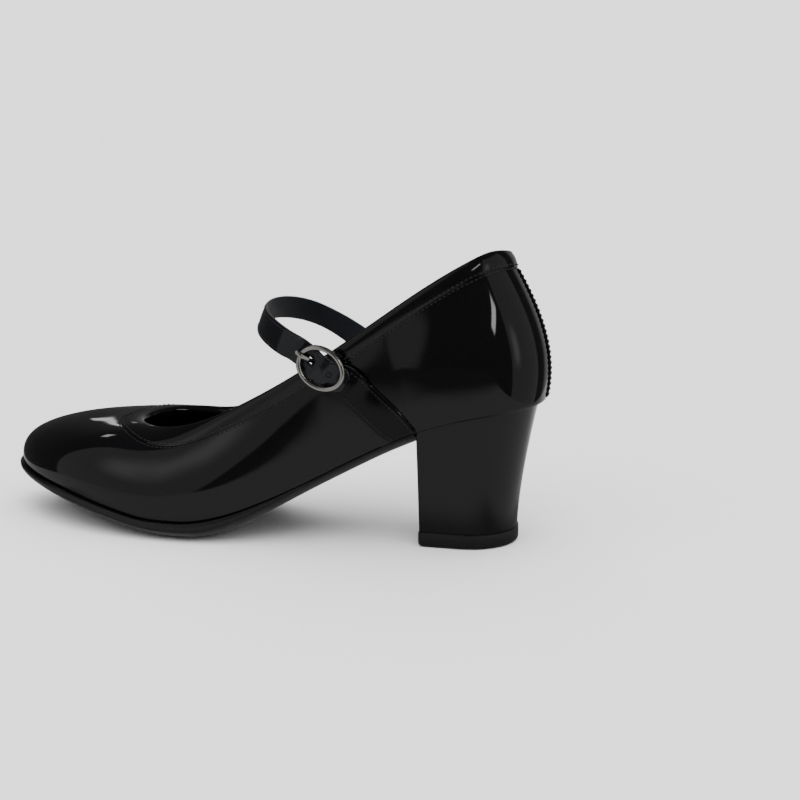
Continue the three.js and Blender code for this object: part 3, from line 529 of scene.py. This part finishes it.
# Linings: their inner face is what shows. They butt where the CAD pieces do.
def lining(name, u0, u1, node):
    u = np.linspace(u0, u1, 150)[:, None]
    first = np.interp(u[:, 0] % 1, np.append(U_RING, 1), np.append(start[:, 0], start[0, 0]))[:, None]
    t = np.concatenate([rows_between(0.1 * first, first, 26),
                        rows_between(first, 1 + 0 * first, 8)[:, 1:]], 1)
    closing = np.clip((t - first) / (1 - first), 0, 1)
    depth = mix(2.6, 1.4, smoothstep(closing, 0, 1))
    face = wall_depth(u, t, depth + 0.8)
    back = wall_depth(u, t[:, ::-1][:, ::3], (depth + 0.1)[:, ::-1][:, ::3])
    sections = np.concatenate([face, back], 1)
    return fit_piece(loft(name, sections, LINING, sharp=50), "shoe", "lining", node)


lining("vamp_lining_face", 13.03 / 48, 34.97 / 48, "vamp_lining")
lining("quarter_lining_face", 35.03 / 48, 1 + 12.97 / 48, "quarter_lining")


# Back seam strip, with a stitch row up each edge.
def back_strip():
    half = 0.0044
    u = np.linspace(-half, half, 7)
    share = np.linspace(0.02, 0.985, 60)
    top = band_start(np.array([0.0]))[0]
    crown = 0.16 + 0.5 * np.sqrt(1 - (np.linspace(-1, 1, 7) * 0.93) ** 2)
    sections = []
    for s in share:
        face = wall_depth(u, np.full(7, s * top), -crown)
        under = wall_depth(u[::-1], np.full(7, s * top), 0.05)
        sections.append(np.concatenate([face, under]))
    strip = loft("back_seam_piping", sections, PATENT_BAND, sharp=50)
    fit_piece(strip, "shoe", "patent", "back_seam_strip")
    for side in (-1, 1):
        path_u = np.full(60, side * half * 0.55)
        fit_piece(stitches("back_stitches_" + ("in" if side < 0 else "out"),
                           wall_depth(path_u, share * top, -0.6), wall_normal(path_u, share * top),
                           pitch=2.3, closed=False), "shoe", "patent")


back_strip()


# ---------------------------------------------------------------- bottom

def inset_outline(inset):
    u = np.arange(-0.25, 1.25, 1 / 4000)
    p = outline_point(u, inset)
    back = int(np.argmin(np.where(np.abs(u) < 0.06, p[:, 0], 1e9)))
    toe = int(np.argmax(np.where(np.abs(u - 0.5) < 0.06, p[:, 0], -1e9)))
    outer = p[back:toe + 1]
    inner = p[toe:back + 4001][::-1]

    def y_at(side, x):
        run = outer if side > 0 else inner
        return np.interp(x, run[:, 0], run[:, 1])
    return p[back, 0], p[toe, 0], y_at


def plate(name, inset, top, bottom, material, waist_inset=None, from_x=None, slices=96,
          lanes=(0, 0.25, 0.6, 1.1, 2, 3.2, 5, 7.5, 10.5, 12), **more):
    back, toe, fore_y = inset_outline(inset)
    waist_y = inset_outline(inset if waist_inset is None else waist_inset)[2]
    first = back if from_x is None else from_x
    k = np.arange(slices + 1) / slices
    share = (1 - np.cos(np.pi * k)) / 2 if from_x is None else np.sin(np.pi * k / 2)
    sections = []
    for i, x in enumerate(first + (toe - first) * share):
        w = smoothstep(x, 60, 110)
        a, b = (mix(waist_y(s, x), fore_y(s, x), w) for s in (1, -1))
        if i == slices or (i == 0 and from_x is None):
            b = a
        width = a - b
        f = np.array([min(d / width, 0.48 * j / len(lanes)) if width > 1e-6 else 0
                      for j, d in enumerate(lanes)])
        across = np.concatenate([f, [0.5], (1 - f)[::-1]])
        y = a - across * width
        d = np.minimum(across, 1 - across) * width
        d = np.minimum(d, np.hypot(d, max(0.0, toe - x)) if x > toe - 12 else d)
        upper_face = np.stack([np.full(len(y), x), y, top(x, d)], 1)
        lower_face = np.stack([np.full(len(y), x), y, bottom(x, d)], 1)[::-1]
        sections.append(np.concatenate([upper_face, lower_face]))
    return loft(name, sections, material, **more)


def rounded(d, radius, depth):
    """How far an edge of that radius falls away at a distance in from the rim."""
    s = np.clip(1 - np.asarray(d, float) / radius, 0, 1)
    return depth * (1 - np.sqrt(np.maximum(0, 1 - s * s)))


fit_piece(plate(
    "outsole_shell", -SOLE_RIM,
    lambda x, d: feather_z(x) + 0.36 - rounded(d, 0.7, 0.4),
    lambda x, d: tread_z(x) + SOLE_EDGE_RISE * np.maximum(0, 1 - d / EDGE_CROWN) ** 2 + rounded(d, 1, 0.4),
    SOLE, waist_inset=-WAIST_RIM, from_x=BREAST_X + GAP, sharp=50,
), "shoe", "sole", "outsole")
fit_piece(plate(
    "insole_sock_pad", LINING_DEPTH - 0.2,
    lambda x, d: feather_z(x) + SOCK_LOW + 2 - rounded(d, 2.6, 1.2),
    lambda x, d: feather_z(x) + SOCK_LOW + 0 * d, SOCK, sharp=50,
), "shoe", "lining", "insole_sock")

# ---------------------------------------------------------------- heel

HEEL_BACK_TOP, HEEL_BACK_BOTTOM = -26.4, -17.8
HEEL_HALF_TOP, HEEL_HALF_BOTTOM = 25.9, 19.6


def heel_ring(h, inset, corner=1.2):
    """The heel's plan at a height, as a closed ring that starts and ends on the breast."""
    half = mix(HEEL_HALF_BOTTOM, HEEL_HALF_TOP, h ** 1.1) - inset
    back = mix(HEEL_BACK_BOTTOM, HEEL_BACK_TOP, h ** 1.5) + inset
    breast = BREAST_X - inset
    arc_x = back + 1.06 * half
    pts = [[breast - corner * (1 - math.sin(a)), half - corner * (1 - math.cos(a))]
           for a in np.linspace(math.pi / 2, 0, 6)]
    pts += [[x, half] for x in np.linspace(breast - corner, arc_x, 12)[1:]]
    angles = np.linspace(0, math.pi, 61)[1:-1]
    pts += [[arc_x - (arc_x - back) * math.sin(a), half * math.cos(a)] for a in angles]
    lower = [[x, -y] for x, y in pts[:17]][::-1]
    ring_points = np.array(pts + lower)
    front = np.stack([np.full(9, breast), np.linspace(-half + corner, half - corner, 11)[1:-1]], 1)
    return np.concatenate([ring_points, front])


def heel_cover():
    sections = []
    for h in np.linspace(0, 1, 40):
        ring_points = heel_ring(h, 0)
        top = feather_z(ring_points[:, 0]) + 0.05
        z = mix(LIFT_HEIGHT + 0.12, top, h)
        sections.append(np.column_stack([ring_points, z]))
    return loft("heel_patent_cover", sections, PATENT_HEEL, sharp=38)


fit_piece(heel_cover(), "shoe", "patent", "heel_wrap", "heel_breast_cover")


def lift():
    sections = []
    steps = [(0, 1.5), (0.12, 1.0), (0.45, 0.45), (0.95, 0.12), (1.6, 0), (LIFT_HEIGHT - 0.7, 0),
             (LIFT_HEIGHT - 0.25, 0.1), (LIFT_HEIGHT, 0.42)]
    for z, draw in steps:
        ring_points = heel_ring(0, draw - 0.5, corner=2.2)
        sections.append(np.column_stack([ring_points, np.full(len(ring_points), z)]))
    return loft("top_lift_rubber", sections, LIFT, sharp=50)


fit_piece(lift(), "shoe", "lift", "top_lift")

# ---------------------------------------------------------------- straps

RING_CENTRE = np.array([58.8, 33.998, 78.4])
ALONG = unit(np.array([0.822, 0, 0.569]))
ACROSS = unit(np.array([-0.569, 0, 0.822]))
OUT = np.array([0, 1.0, 0])
STRAP_WIDTH, STRAP_THICKNESS = 11.2, 1.1
CHAPE_WIDTH, CHAPE_NECK, CHAPE_THICKNESS = 14, 10, 0.7
RING_LENGTH, RING_WIDTH, RING_WIRE = 19.8, 16.2, 1.1
BAR_RADIUS, BAR_DROP = 0.75, 2.2
PRONG_HALF_WIDTH, PRONG_HALF_THICKNESS = 0.9, 0.5
STRAP_UNDER = -(RING_WIRE + GAP + STRAP_THICKNESS / 2)
CHAPE_UNDER = STRAP_UNDER - STRAP_THICKNESS / 2 - GAP - CHAPE_THICKNESS / 2
FOLD_UNDER = CHAPE_UNDER - CHAPE_THICKNESS - GAP
FOLD_RADIUS = BAR_RADIUS + GAP + CHAPE_THICKNESS / 2
HUMP = -BAR_DROP + BAR_RADIUS + 0.25 + 2 * PRONG_HALF_THICKNESS + GAP + STRAP_THICKNESS / 2


def ring_point(along, out, across=0.0):
    return RING_CENTRE + ALONG * along + OUT * out + ACROSS * across


def on_wall(side, x, z):
    """The wall's outer face at some x and z on the outer (+1) or inner (-1) side."""
    def u_at(t):
        low, high = 0.0, 0.5
        for _ in range(30):
            mid = (low + high) / 2
            if wall(side * mid, t)[0] < x:
                low = mid
            else:
                high = mid
        return side * (low + high) / 2
    low, high = 0.0, 1.0
    for _ in range(26):
        mid = (low + high) / 2
        if wall(u_at(mid), mid)[2] < z:
            low = mid
        else:
            high = mid
    t = (low + high) / 2
    return wall(u_at(t), t)


def wall_station(side, spec, thickness):
    x, z, half_x, half_z, lift_off = spec
    y = [on_wall(side, x + k * half_x, z + k * half_z)[1] * side for k in (-1, 0, 1)]
    middle = max(y[1], (y[0] + y[2]) / 2) + lift_off + thickness / 2
    return (np.array([x, side * middle, z]), np.array([half_x, side * (y[2] - y[0]) / 2, half_z]),
            np.array([0, side, 0.0]))


def ring_stations(path, half_at, turn=1):
    path = np.asarray(path, float)
    result = []
    for i, (along, out) in enumerate(path):
        a = path[max(0, i - 1)]
        b = path[min(len(path) - 1, i + 1)]
        tangent = unit(ALONG * (b[0] - a[0]) + OUT * (b[1] - a[1]))
        result.append((ring_point(along, out), ACROSS * half_at(along),
                       unit(np.cross(tangent, ACROSS)) * turn))
    return result


def ribbon(name, stations, thickness, material, back, edge, per=6, crown=0.22, soften=0.8, loop_soften=0):
    """A strap through stations of (middle, half across, out): crowned face, rolled edges, lined back.

    loop_soften rounds the free middle of the strap further, away from both ends.
    """
    data = np.array([np.concatenate(s) for s in stations])
    s = arc_lengths(data[:, :3])
    steps = int(s[-1] * per / 4)
    q = np.linspace(0, s[-1], steps)
    slope = np.gradient(data, s, axis=0)
    k = np.clip(np.searchsorted(s, q, side="right") - 1, 0, len(s) - 2)
    h = (s[k + 1] - s[k])[:, None]
    t = ((q - s[k]) / h[:, 0])[:, None]
    dense = (1 + 2 * t) * (1 - t) ** 2 * data[k] + t * (1 - t) ** 2 * h * slope[k] \
        + t * t * (3 - 2 * t) * data[k + 1] - t * t * (1 - t) * h * slope[k + 1]
    step = q[1] - q[0]
    fine = blur(dense, step, soften)
    if loop_soften:
        broad = blur(dense, step, loop_soften)
        share = smoothstep(q, 24, 36) * (1 - smoothstep(q, q[-1] - 34, q[-1] - 26))
        fine = mix(fine, broad, share[:, None])
    dense = fine
    middle, across, out = dense[:, :3], dense[:, 3:6], unit(dense[:, 6:])
    half = np.linalg.norm(across, axis=1, keepdims=True)
    side = across / half
    profile_points = []
    lanes = np.array([-1, -0.97, -0.9, -0.75, -0.5, 0, 0.5, 0.75, 0.9, 0.97, 1])
    for lane in lanes:
        edge_fall = thickness * 0.34 * abs(lane) ** 26
        groove = 0.10 * math.exp(-((abs(lane) - 0.76) / 0.07) ** 2)
        profile_points.append((lane, thickness / 2 + crown * (1 - lane ** 2) - edge_fall - groove))
    for lane in lanes[::-1]:
        profile_points.append((lane, -thickness / 2 + thickness * 0.2 * abs(lane) ** 26))
    sections = np.stack([middle + side * (half * lane) + out * rise for lane, rise in profile_points], 1)
    obj = loft(name, sections, material, extra=(back, edge), sharp=50)
    centres = np.array([p.center for p in obj.data.polygons]) / MM
    normals = np.array([p.normal for p in obj.data.polygons])
    nearest = np.array([np.argmin(((middle - c) ** 2).sum(1)) for c in centres])
    facing = (normals * out[nearest]).sum(1)
    lateral = np.abs(((centres - middle[nearest]) * side[nearest]).sum(1)) / half[nearest, 0]
    index = np.where(facing < -0.5, 1, 0)
    index = np.where((np.abs(facing) <= 0.72) & (lateral > 0.955), 2, index)
    obj.data.polygons.foreach_set("material_index", index.astype(np.int32))
    return obj, middle, side, half, out


def chape_half(along):
    return mix(CHAPE_NECK, CHAPE_WIDTH, smoothstep(abs(along), 4, 9)) / 2


fold = [[FOLD_RADIUS * math.cos(a), -BAR_DROP + FOLD_RADIUS * math.sin(a)]
        for a in np.radians(-80 + 20 * np.arange(9))]
chape_path = [
    [-13.5, FOLD_UNDER], [-9, FOLD_UNDER], [-5, FOLD_UNDER], [-2, FOLD_UNDER + 0.35], *fold,
    [-1.6, -1.35], [-4.2, CHAPE_UNDER + 0.25], [-7, CHAPE_UNDER], [-10, CHAPE_UNDER], [-15, CHAPE_UNDER],
]
CHAPE_WALL = [
    [42.7, 65.8, -4, 5.7, 0.9], [36.9, 60.5, -4.2, 5.5, 0.6], [31.2, 55, -4.7, 5, 0.4],
    [25.5, 49.5, -5.4, 2.6, 0.35],
]
strap_path = [
    [-12.4, STRAP_UNDER], [-10.5, STRAP_UNDER], [-8, STRAP_UNDER], [-6.2, STRAP_UNDER + 0.35],
    [-4.6, STRAP_UNDER + 1.25], [-3.2, HUMP - 0.55], [-1.6, HUMP - 0.05], [0, HUMP], [1.6, HUMP - 0.05],
    [3.2, HUMP - 0.55], [4.6, STRAP_UNDER + 1.25], [6.2, STRAP_UNDER + 0.35], [8, STRAP_UNDER],
    [10.5, STRAP_UNDER], [12.6, STRAP_UNDER],
]
LOOP = np.array([
    [75.9, 29.4, 87.8], [82.4, 24.4, 90.4], [88, 17.4, 92.2], [91.4, 8.6, 93.4], [92.4, -1.6, 94],
    [91, -11.8, 93.6], [87.2, -21, 92.2], [81.2, -28.2, 89.6], [73.4, -32.8, 85.4], [64.6, -34.6, 80],
    [56, -34.2, 74.2],
])
INNER_WALL = [
    [47.4, 67.4, -3.1, 4.3, 0.9], [39.8, 61.6, -3.2, 4.2, 0.5], [32.6, 55.6, -3.5, 3.8, 0.4],
    [26.4, 49.8, -4.3, 2.1, 0.35],
]


def strap_half(along):
    return STRAP_WIDTH / 2 * (math.sqrt(1 - ((-9 - along) / 3.6) ** 2 * 0.75) if along < -9 else 1)


def strap_stations():
    buckled = ring_stations(strap_path, strap_half, -1)
    anchored = [wall_station(-1, s, STRAP_THICKNESS) for s in INNER_WALL]
    route = [buckled[-1][0], *LOOP, anchored[0][0]]
    leans = np.array([ACROSS, unit(np.array([-0.3, -0.1, 0.95])), unit(np.array([-0.42, 0.12, 0.9])),
                      unit(np.array([-0.5, 0.34, 0.8])), unit(anchored[0][1])])
    loop = []
    for i, middle in enumerate(LOOP):
        tangent = unit(route[i + 2] - route[i])
        place = (i + 1) / (len(LOOP) + 1) * (len(leans) - 1)
        k = int(place)
        across = mix(leans[k], leans[min(k + 1, len(leans) - 1)], place - k)
        across = unit(across - tangent * (across @ tangent))
        loop.append((middle, across * STRAP_WIDTH / 2, unit(np.cross(across, tangent))))
    return buckled + loop + anchored


def edge_rows(name, middle, side, half, out, thickness, keep):
    for word, sign in (("low", -1), ("high", 1)):
        path = (middle + side * (half * 0.76 * sign) + out * (thickness / 2 + 0.06))[keep]
        fit_piece(stitches(f"{name}_{word}", path, out[keep], closed=False, radius=0.2, pitch=1.9,
                           length=1.4), "shoe", "patent")


chape, *chape_line = ribbon("buckle_strap_leather", [
    *ring_stations(chape_path, chape_half), *[wall_station(1, s, CHAPE_THICKNESS) for s in CHAPE_WALL],
], CHAPE_THICKNESS, PATENT_CHAPE, STRAP_BACK, EDGE)
fit_piece(chape, "shoe", "patent", "buckle_strap")
strap, *strap_line = ribbon("instep_strap_leather", strap_stations(), STRAP_THICKNESS,
                            PATENT_STRAP, STRAP_BACK, EDGE, loop_soften=4)
fit_piece(strap, "shoe", "patent", "instep_strap")


def cut_box(obj, name, from_along, to_along, width, depth):
    """Cuts a slot through a strap, square to the ring's frame."""
    centre = ring_point((from_along + to_along) / 2, -BAR_DROP)
    corners = [centre + ALONG * a * (to_along - from_along) / 2 + ACROSS * b * width / 2 + OUT * c * depth / 2
               for a in (-1, 1) for b in (-1, 1) for c in (-1, 1)]
    faces = [[0, 1, 3, 2], [4, 6, 7, 5], [0, 4, 5, 1], [2, 3, 7, 6], [0, 2, 6, 4], [1, 5, 7, 3]]
    tool = make(name, corners, faces, HOLE_SHADE)
    m = obj.modifiers.new("cut", "BOOLEAN")
    m.operation = "DIFFERENCE"
    m.solver = "EXACT"
    m.object = tool
    dg = bpy.context.evaluated_depsgraph_get()
    result = bpy.data.meshes.new_from_object(obj.evaluated_get(dg))
    obj.modifiers.clear()
    obj.data = result
    bpy.data.objects.remove(tool)


cut_box(chape, "slot_tool", -2.6, 4, 3, 5.6)
cut_box(strap, "hole_tool", 3.1, 6.4, 2.5, 12)

middle, side, half, out = strap_line
reach = (middle - RING_CENTRE) @ ALONG
edge_rows("instep_strap_stitches", middle, side, half, out, STRAP_THICKNESS,
          np.arange(len(middle)) > np.argmax(reach > 12.5))
middle, side, half, out = chape_line
away = np.linalg.norm(middle - RING_CENTRE, axis=1)
folded = np.argmin(np.abs((middle - RING_CENTRE) @ OUT - 0.3) + away)
edge_rows("buckle_strap_stitches", middle, side, half, out, CHAPE_THICKNESS,
          (np.arange(len(middle)) > folded) & (away > 11))

# ---------------------------------------------------------------- buckle


def tube(name, points, half_side, half_up, material, closed=False, sides=20, tips=None):
    p = np.asarray(points, float)
    if closed:
        tangent = unit(np.roll(p, -1, 0) - np.roll(p, 1, 0))
    else:
        tangent = unit(np.gradient(p, axis=0))
    if closed:
        side_dir = unit(np.cross(OUT, tangent))
    else:
        flat = np.where(np.abs(tangent @ ACROSS)[:, None] > 0.98, ALONG, ACROSS)
        side_dir = unit(flat - tangent * (flat * tangent).sum(1, keepdims=True))
    up = unit(np.cross(tangent, side_dir))
    size = np.ones(len(p)) if tips is None else np.asarray(tips, float)
    angle = 2 * np.pi * (np.arange(sides) + 0.5) / sides
    size = size[:, None, None]
    sections = p[:, None] + side_dir[:, None] * (half_side * np.cos(angle))[None, :, None] * size \
        + up[:, None] * (half_up * np.sin(angle))[None, :, None] * size
    return loft(name, sections, material, loop=closed, sharp=60)


a = 2 * np.pi * np.arange(144) / 144
rim_line = [ring_point(RING_LENGTH / 2 * math.cos(v), 0, RING_WIDTH / 2 * math.sin(v)) for v in a]
rim = tube("buckle_rim", rim_line, RING_WIRE, RING_WIRE, BUCKLE, closed=True, sides=28)
fit_piece(rim, "shoe", "buckle", "buckle_frame")
end = RING_WIDTH / 2
bar_knots = np.array([[end, 0], [end - 0.7, -0.9], [end - 1.6, -BAR_DROP + 0.3], [end - 2.4, -BAR_DROP],
                      [0, -BAR_DROP], [2.4 - end, -BAR_DROP], [1.6 - end, -BAR_DROP + 0.3],
                      [0.7 - end, -0.9], [-end, 0]])
bar_line = [ring_point(0, o, c) for c, o in bar_knots]
bar = tube("buckle_bar", bar_line, BAR_RADIUS, BAR_RADIUS, BUCKLE, sides=16)
fit_piece(bar, "shoe", "buckle")


def smooth_path(knots, count, soften=0.35):
    k = np.asarray(knots, float)
    s = arc_lengths(k)
    q = np.linspace(0, s[-1], count)
    return blur(sampled(q, s, k), q[1] - q[0], soften)


EYE = BAR_RADIUS + 0.25 + PRONG_HALF_THICKNESS
eye = [[EYE * math.cos(v), -BAR_DROP + EYE * math.sin(v)] for v in np.radians(60 + 12 * np.arange(21))]
REST = RING_WIRE + PRONG_HALF_THICKNESS + GAP
RIM_AT = RING_LENGTH / 2
prong_knots = eye + [[3, -2.2], [5.1, -1], [6.3, -0.1], [RIM_AT - 2.3, 0.9], [RIM_AT - 1.2, REST - 0.2],
                     [RIM_AT, REST], [RIM_AT + 1.4, REST - 0.15], [RIM_AT + 2.6, REST - 0.5]]
PRONG_SECTIONS, PRONG_TIP_SECTIONS = 120, 7
path = smooth_path(prong_knots, PRONG_SECTIONS)
tips = np.ones(PRONG_SECTIONS)
tips[-PRONG_TIP_SECTIONS:] = np.sqrt(1 - (np.linspace(0, 0.985, PRONG_TIP_SECTIONS)) ** 2)
prong = tube("buckle_prong_wire", [ring_point(x, o) for x, o in path], PRONG_HALF_WIDTH,
             PRONG_HALF_THICKNESS, BUCKLE, sides=16, tips=tips)
# What lies down in the strap's hole gets the near-black hole material: painted shade on the steel.
PRONG_SHADE_UNTIL = 5.9
prong.data.materials.append(HOLE_SHADE)
centres = np.array([p.center for p in prong.data.polygons]) / MM
shaded_in_hole = (centres - RING_CENTRE) @ ALONG < PRONG_SHADE_UNTIL
prong.data.polygons.foreach_set("material_index", shaded_in_hole.astype(np.int32))
fit_piece(prong, "prong", "buckle", "buckle_prong")

# Spare hole in the strap, inside the ring: a shallow near-black cup with a pressed rim, its darkness painted
# shade.
index = int(np.argmin(np.linalg.norm(strap_line[0] - ring_point(-3.9, STRAP_UNDER + 1.7), axis=1)))
centre = strap_line[0][index] + strap_line[3][index] * (STRAP_THICKNESS / 2 + 0.2)
axis = strap_line[3][index]
side_a = strap_line[1][index]
side_b = np.cross(axis, side_a)
v = np.linspace(0, 2 * np.pi, 33)[:-1]
sections = [centre + axis * rise + (side_a[None] * np.cos(v)[:, None] + side_b[None] * np.sin(v)[:, None]) * r
            for r, rise in ((1.35, -0.06), (1.2, 0.06), (1.0, 0.07), (0.88, -0.02), (0.8, -0.3))]
strap_hole_shade = make("strap_hole_shade", np.concatenate(sections), loft_faces(5, 32, False), HOLE_SHADE, sharp=60)
fit_piece(strap_hole_shade, "shoe", "patent")

# ---------------------------------------------------------------- floor, light, camera

floor_mat, nodes, links, s, xyz = new_material("floor_paper")
links.new(tint(nodes, links, noise(nodes, links, xyz, 3, 2), (0.9, 0.9, 0.9), (0.93, 0.93, 0.93)),
          s.inputs["Base Color"])
s.inputs["Roughness"].default_value = 0.9
s.inputs["Specular IOR Level"].default_value = 0.1
FLOOR_RADIUS, FLOOR_SIDES, FLOOR_Z = 9000, 96, -0.05
disc = [[FLOOR_RADIUS * math.cos(v), FLOOR_RADIUS * math.sin(v), FLOOR_Z]
        for v in np.linspace(0, 2 * math.pi, FLOOR_SIDES + 1)[:-1]]
floor = make("floor", disc, [list(range(FLOOR_SIDES))], floor_mat)
floor.visible_glossy = False


def math_nodes(nodes, links):
    """combine, step and between for one node tree."""
    def combine(kind, *values):
        m = nodes.new("ShaderNodeMath")
        m.operation = kind
        for socket, value in zip(m.inputs, values):
            if isinstance(value, (int, float)):
                socket.default_value = value
            else:
                links.new(value, socket)
        return m.outputs[0]

    def step(value, low, high):
        """0 below low, 1 above high, smooth between; low may be the larger."""
        r = nodes.new("ShaderNodeMapRange")
        r.interpolation_type = "SMOOTHSTEP"
        r.inputs["From Min"].default_value = low
        r.inputs["From Max"].default_value = high
        links.new(value, r.inputs["Value"])
        return r.outputs["Result"]

    def between(value, low, high, soft):
        """1 between low and high, falling to 0 over soft on either side."""
        return combine("MULTIPLY", step(value, low - soft, low + soft), step(value, high + soft, high - soft))
    return combine, step, between


# What the gloss sees of the floor: a glowing card with painted light on it, brighter behind the shoe and with
# a painted shadow under it, whose near edge slants away from the heel and fades out. Places on it are in
# metres.
CARD_LEVEL, CARD_BEHIND, CARD_SHADE, CARD_FADED = 0.43, 0.5, 0.75, 0.09
CARD_CORNERS = ((-140, -900), (275, -900), (275, 560), (-140, 560))
CARD_Z = -0.5
card_mat = bpy.data.materials.new("reflected_floor")
card_mat.use_nodes = True
nodes, links = card_mat.node_tree.nodes, card_mat.node_tree.links
nodes.clear()
combine, step, between = math_nodes(nodes, links)
emission = nodes.new("ShaderNodeEmission")
place = nodes.new("ShaderNodeSeparateXYZ")
links.new(nodes.new("ShaderNodeTexCoord").outputs["Object"], place.inputs[0])
card_x, card_y = place.outputs["X"], place.outputs["Y"]
behind = between(card_y, -9, -0.13, 0.06)
# Painted shadow: the card is darkened under the shoe.
shaded = combine("MULTIPLY", between(card_x, -0.04, 0.214, 0.01), between(card_y, -0.05, 0.044, 0.014))
level = combine("MULTIPLY", combine("ADD", CARD_LEVEL, combine("MULTIPLY", behind, CARD_BEHIND)),
                combine("SUBTRACT", 1, combine("MULTIPLY", shaded, CARD_SHADE)))
slant = combine("MULTIPLY", combine("MAXIMUM", combine("SUBTRACT", card_x, 0.07), 0), 2)
near = between(combine("SUBTRACT", card_y, slant), -9, 0.24, 0.07)
level = combine("ADD", CARD_FADED, combine("MULTIPLY", near, level))
links.new(level, emission.inputs["Strength"])
links.new(emission.outputs[0], nodes.new("ShaderNodeOutputMaterial").inputs["Surface"])
card = make("floor_card", [[x, y, CARD_Z] for x, y in CARD_CORNERS], [[0, 1, 2, 3]], card_mat)
card.visible_camera = card.visible_diffuse = card.visible_shadow = card.visible_transmission = False

# Broad soft overhead light falls evenly on the floor; the gloss is lit by the studio's panels below.
SUNS = (("front", 60, 62, 2.6), ("left", 150, 58, 2.2), ("rear", -80, 60, 2.4))
SUN_SPREAD = 70
for name, azimuth, elevation, strength in SUNS:
    sun = bpy.data.lights.new(name, "SUN")
    sun.energy = strength
    sun.angle = math.radians(SUN_SPREAD)
    holder = bpy.data.objects.new(name, sun)
    az, el = math.radians(azimuth), math.radians(elevation)
    towards = Vector((math.cos(az) * math.cos(el), math.sin(az) * math.cos(el), math.sin(el)))
    holder.rotation_euler = towards.to_track_quat("Z", "Y").to_euler()
    holder.visible_glossy = False
    bpy.context.scene.collection.objects.link(holder)

# The backdrop's level is chosen for rays straight from the camera, so that it meets the pale floor
# without a line. What the gloss reflects comes from the panels and lamps instead.
BACKDROP_LEVEL, DIM_LEVEL = 2.25, 0.09
world = bpy.data.worlds.new("studio")
bpy.context.scene.world = world
world.use_nodes = True
wn, wl = world.node_tree.nodes, world.node_tree.links
wn.clear()
combine, step, between = math_nodes(wn, wl)
direction = wn.new("ShaderNodeTexCoord").outputs["Generated"]


def along_axis(vector):
    d = wn.new("ShaderNodeVectorMath")
    d.operation = "DOT_PRODUCT"
    wl.new(direction, d.inputs[0])
    d.inputs[1].default_value = vector
    return d.outputs["Value"]


split = wn.new("ShaderNodeSeparateXYZ")
wl.new(direction, split.inputs[0])
height = split.outputs["Z"]
bearing = combine("MULTIPLY", combine("ARCTAN2", split.outputs["Y"], split.outputs["X"]), 180 / math.pi)
from_back = combine("MULTIPLY", combine("ARCTAN2", combine("MULTIPLY", split.outputs["Y"], -1),
                                        combine("MULTIPLY", split.outputs["X"], -1)), 180 / math.pi)


def panel(turn, left, right, low, high, strength, edge=2.5, soft=0.04):
    """A panel between two bearings in degrees and two heights, as sines of elevation."""
    across = between(turn, left, right, edge)
    return combine("MULTIPLY", combine("MULTIPLY", across, between(height, low, high, soft)), strength)


def lamp(azimuth, elevation, half_long, half_short, tilt, strength):
    """A small soft strip light: its half lengths and tilt are in degrees."""
    az, el, lean = (math.radians(v) for v in (azimuth, elevation, tilt))
    middle = Vector((math.cos(az) * math.cos(el), math.sin(az) * math.cos(el), math.sin(el)))
    side = Vector((-math.sin(az), math.cos(az), 0))
    up = middle.cross(side)
    long_way = side * math.cos(lean) + up * math.sin(lean)
    short_way = up * math.cos(lean) - side * math.sin(lean)
    result = step(along_axis(middle), 0, 0.2)
    for way, half in ((long_way, half_long), (short_way, half_short)):
        reach = combine("ABSOLUTE", along_axis(way))
        edge = math.sin(math.radians(half))
        result = combine("MULTIPLY", result, step(reach, edge * 1.25, edge * 0.75))
    return combine("MULTIPLY", result, strength)


leaning = combine("SUBTRACT", bearing, combine("MULTIPLY", height, 14))
parts = [
    panel(leaning, 15, 77.2, -2, 0.87, 0.42, 1),
    panel(bearing, 44, 62, 0.30, 0.68, 0.65, 8, 0.16),
    panel(from_back, -34, 28, -2, 0.56, 0.42, 1.5),
    panel(from_back, -27, -17, -0.05, 0.24, 0.9, 5, 0.1),
    panel(bearing, -128, -72, -0.5, 0.4, 0.5, 6, 0.15),
    lamp(130, 17.5, 10, 2.0, 40, 9),
    lamp(-32, 57, 5, 2, 10, 6),
    lamp(-66, 15, 1.3, 0.8, 0, 2.5),
]
light = DIM_LEVEL
for part in parts:
    light = combine("ADD", light, part)
seen = wn.new("ShaderNodeLightPath")
grey = wn.new("ShaderNodeMix")
grey.data_type = "FLOAT"
wl.new(seen.outputs["Is Camera Ray"], grey.inputs["Factor"])
wl.new(light, grey.inputs["A"])
grey.inputs["B"].default_value = BACKDROP_LEVEL
background = wn.new("ShaderNodeBackground")
wl.new(grey.outputs["Result"], background.inputs["Strength"])
output = wn.new("ShaderNodeOutputWorld")
wl.new(background.outputs[0], output.inputs["Surface"])

camera_data = bpy.data.cameras.new("camera")
SENSOR_WIDTH, LENS = 36, 93.73
camera_data.sensor_width = SENSOR_WIDTH
camera_data.lens = LENS
camera = bpy.data.objects.new("camera", camera_data)
camera.location = (-0.16776, 0.83654, 0.27163)
aim = Vector((0.03673, -0.01433, 0.05470))
camera.rotation_euler = (aim - camera.location).to_track_quat("-Z", "Y").to_euler()
bpy.context.scene.collection.objects.link(camera)
bpy.context.scene.camera = camera
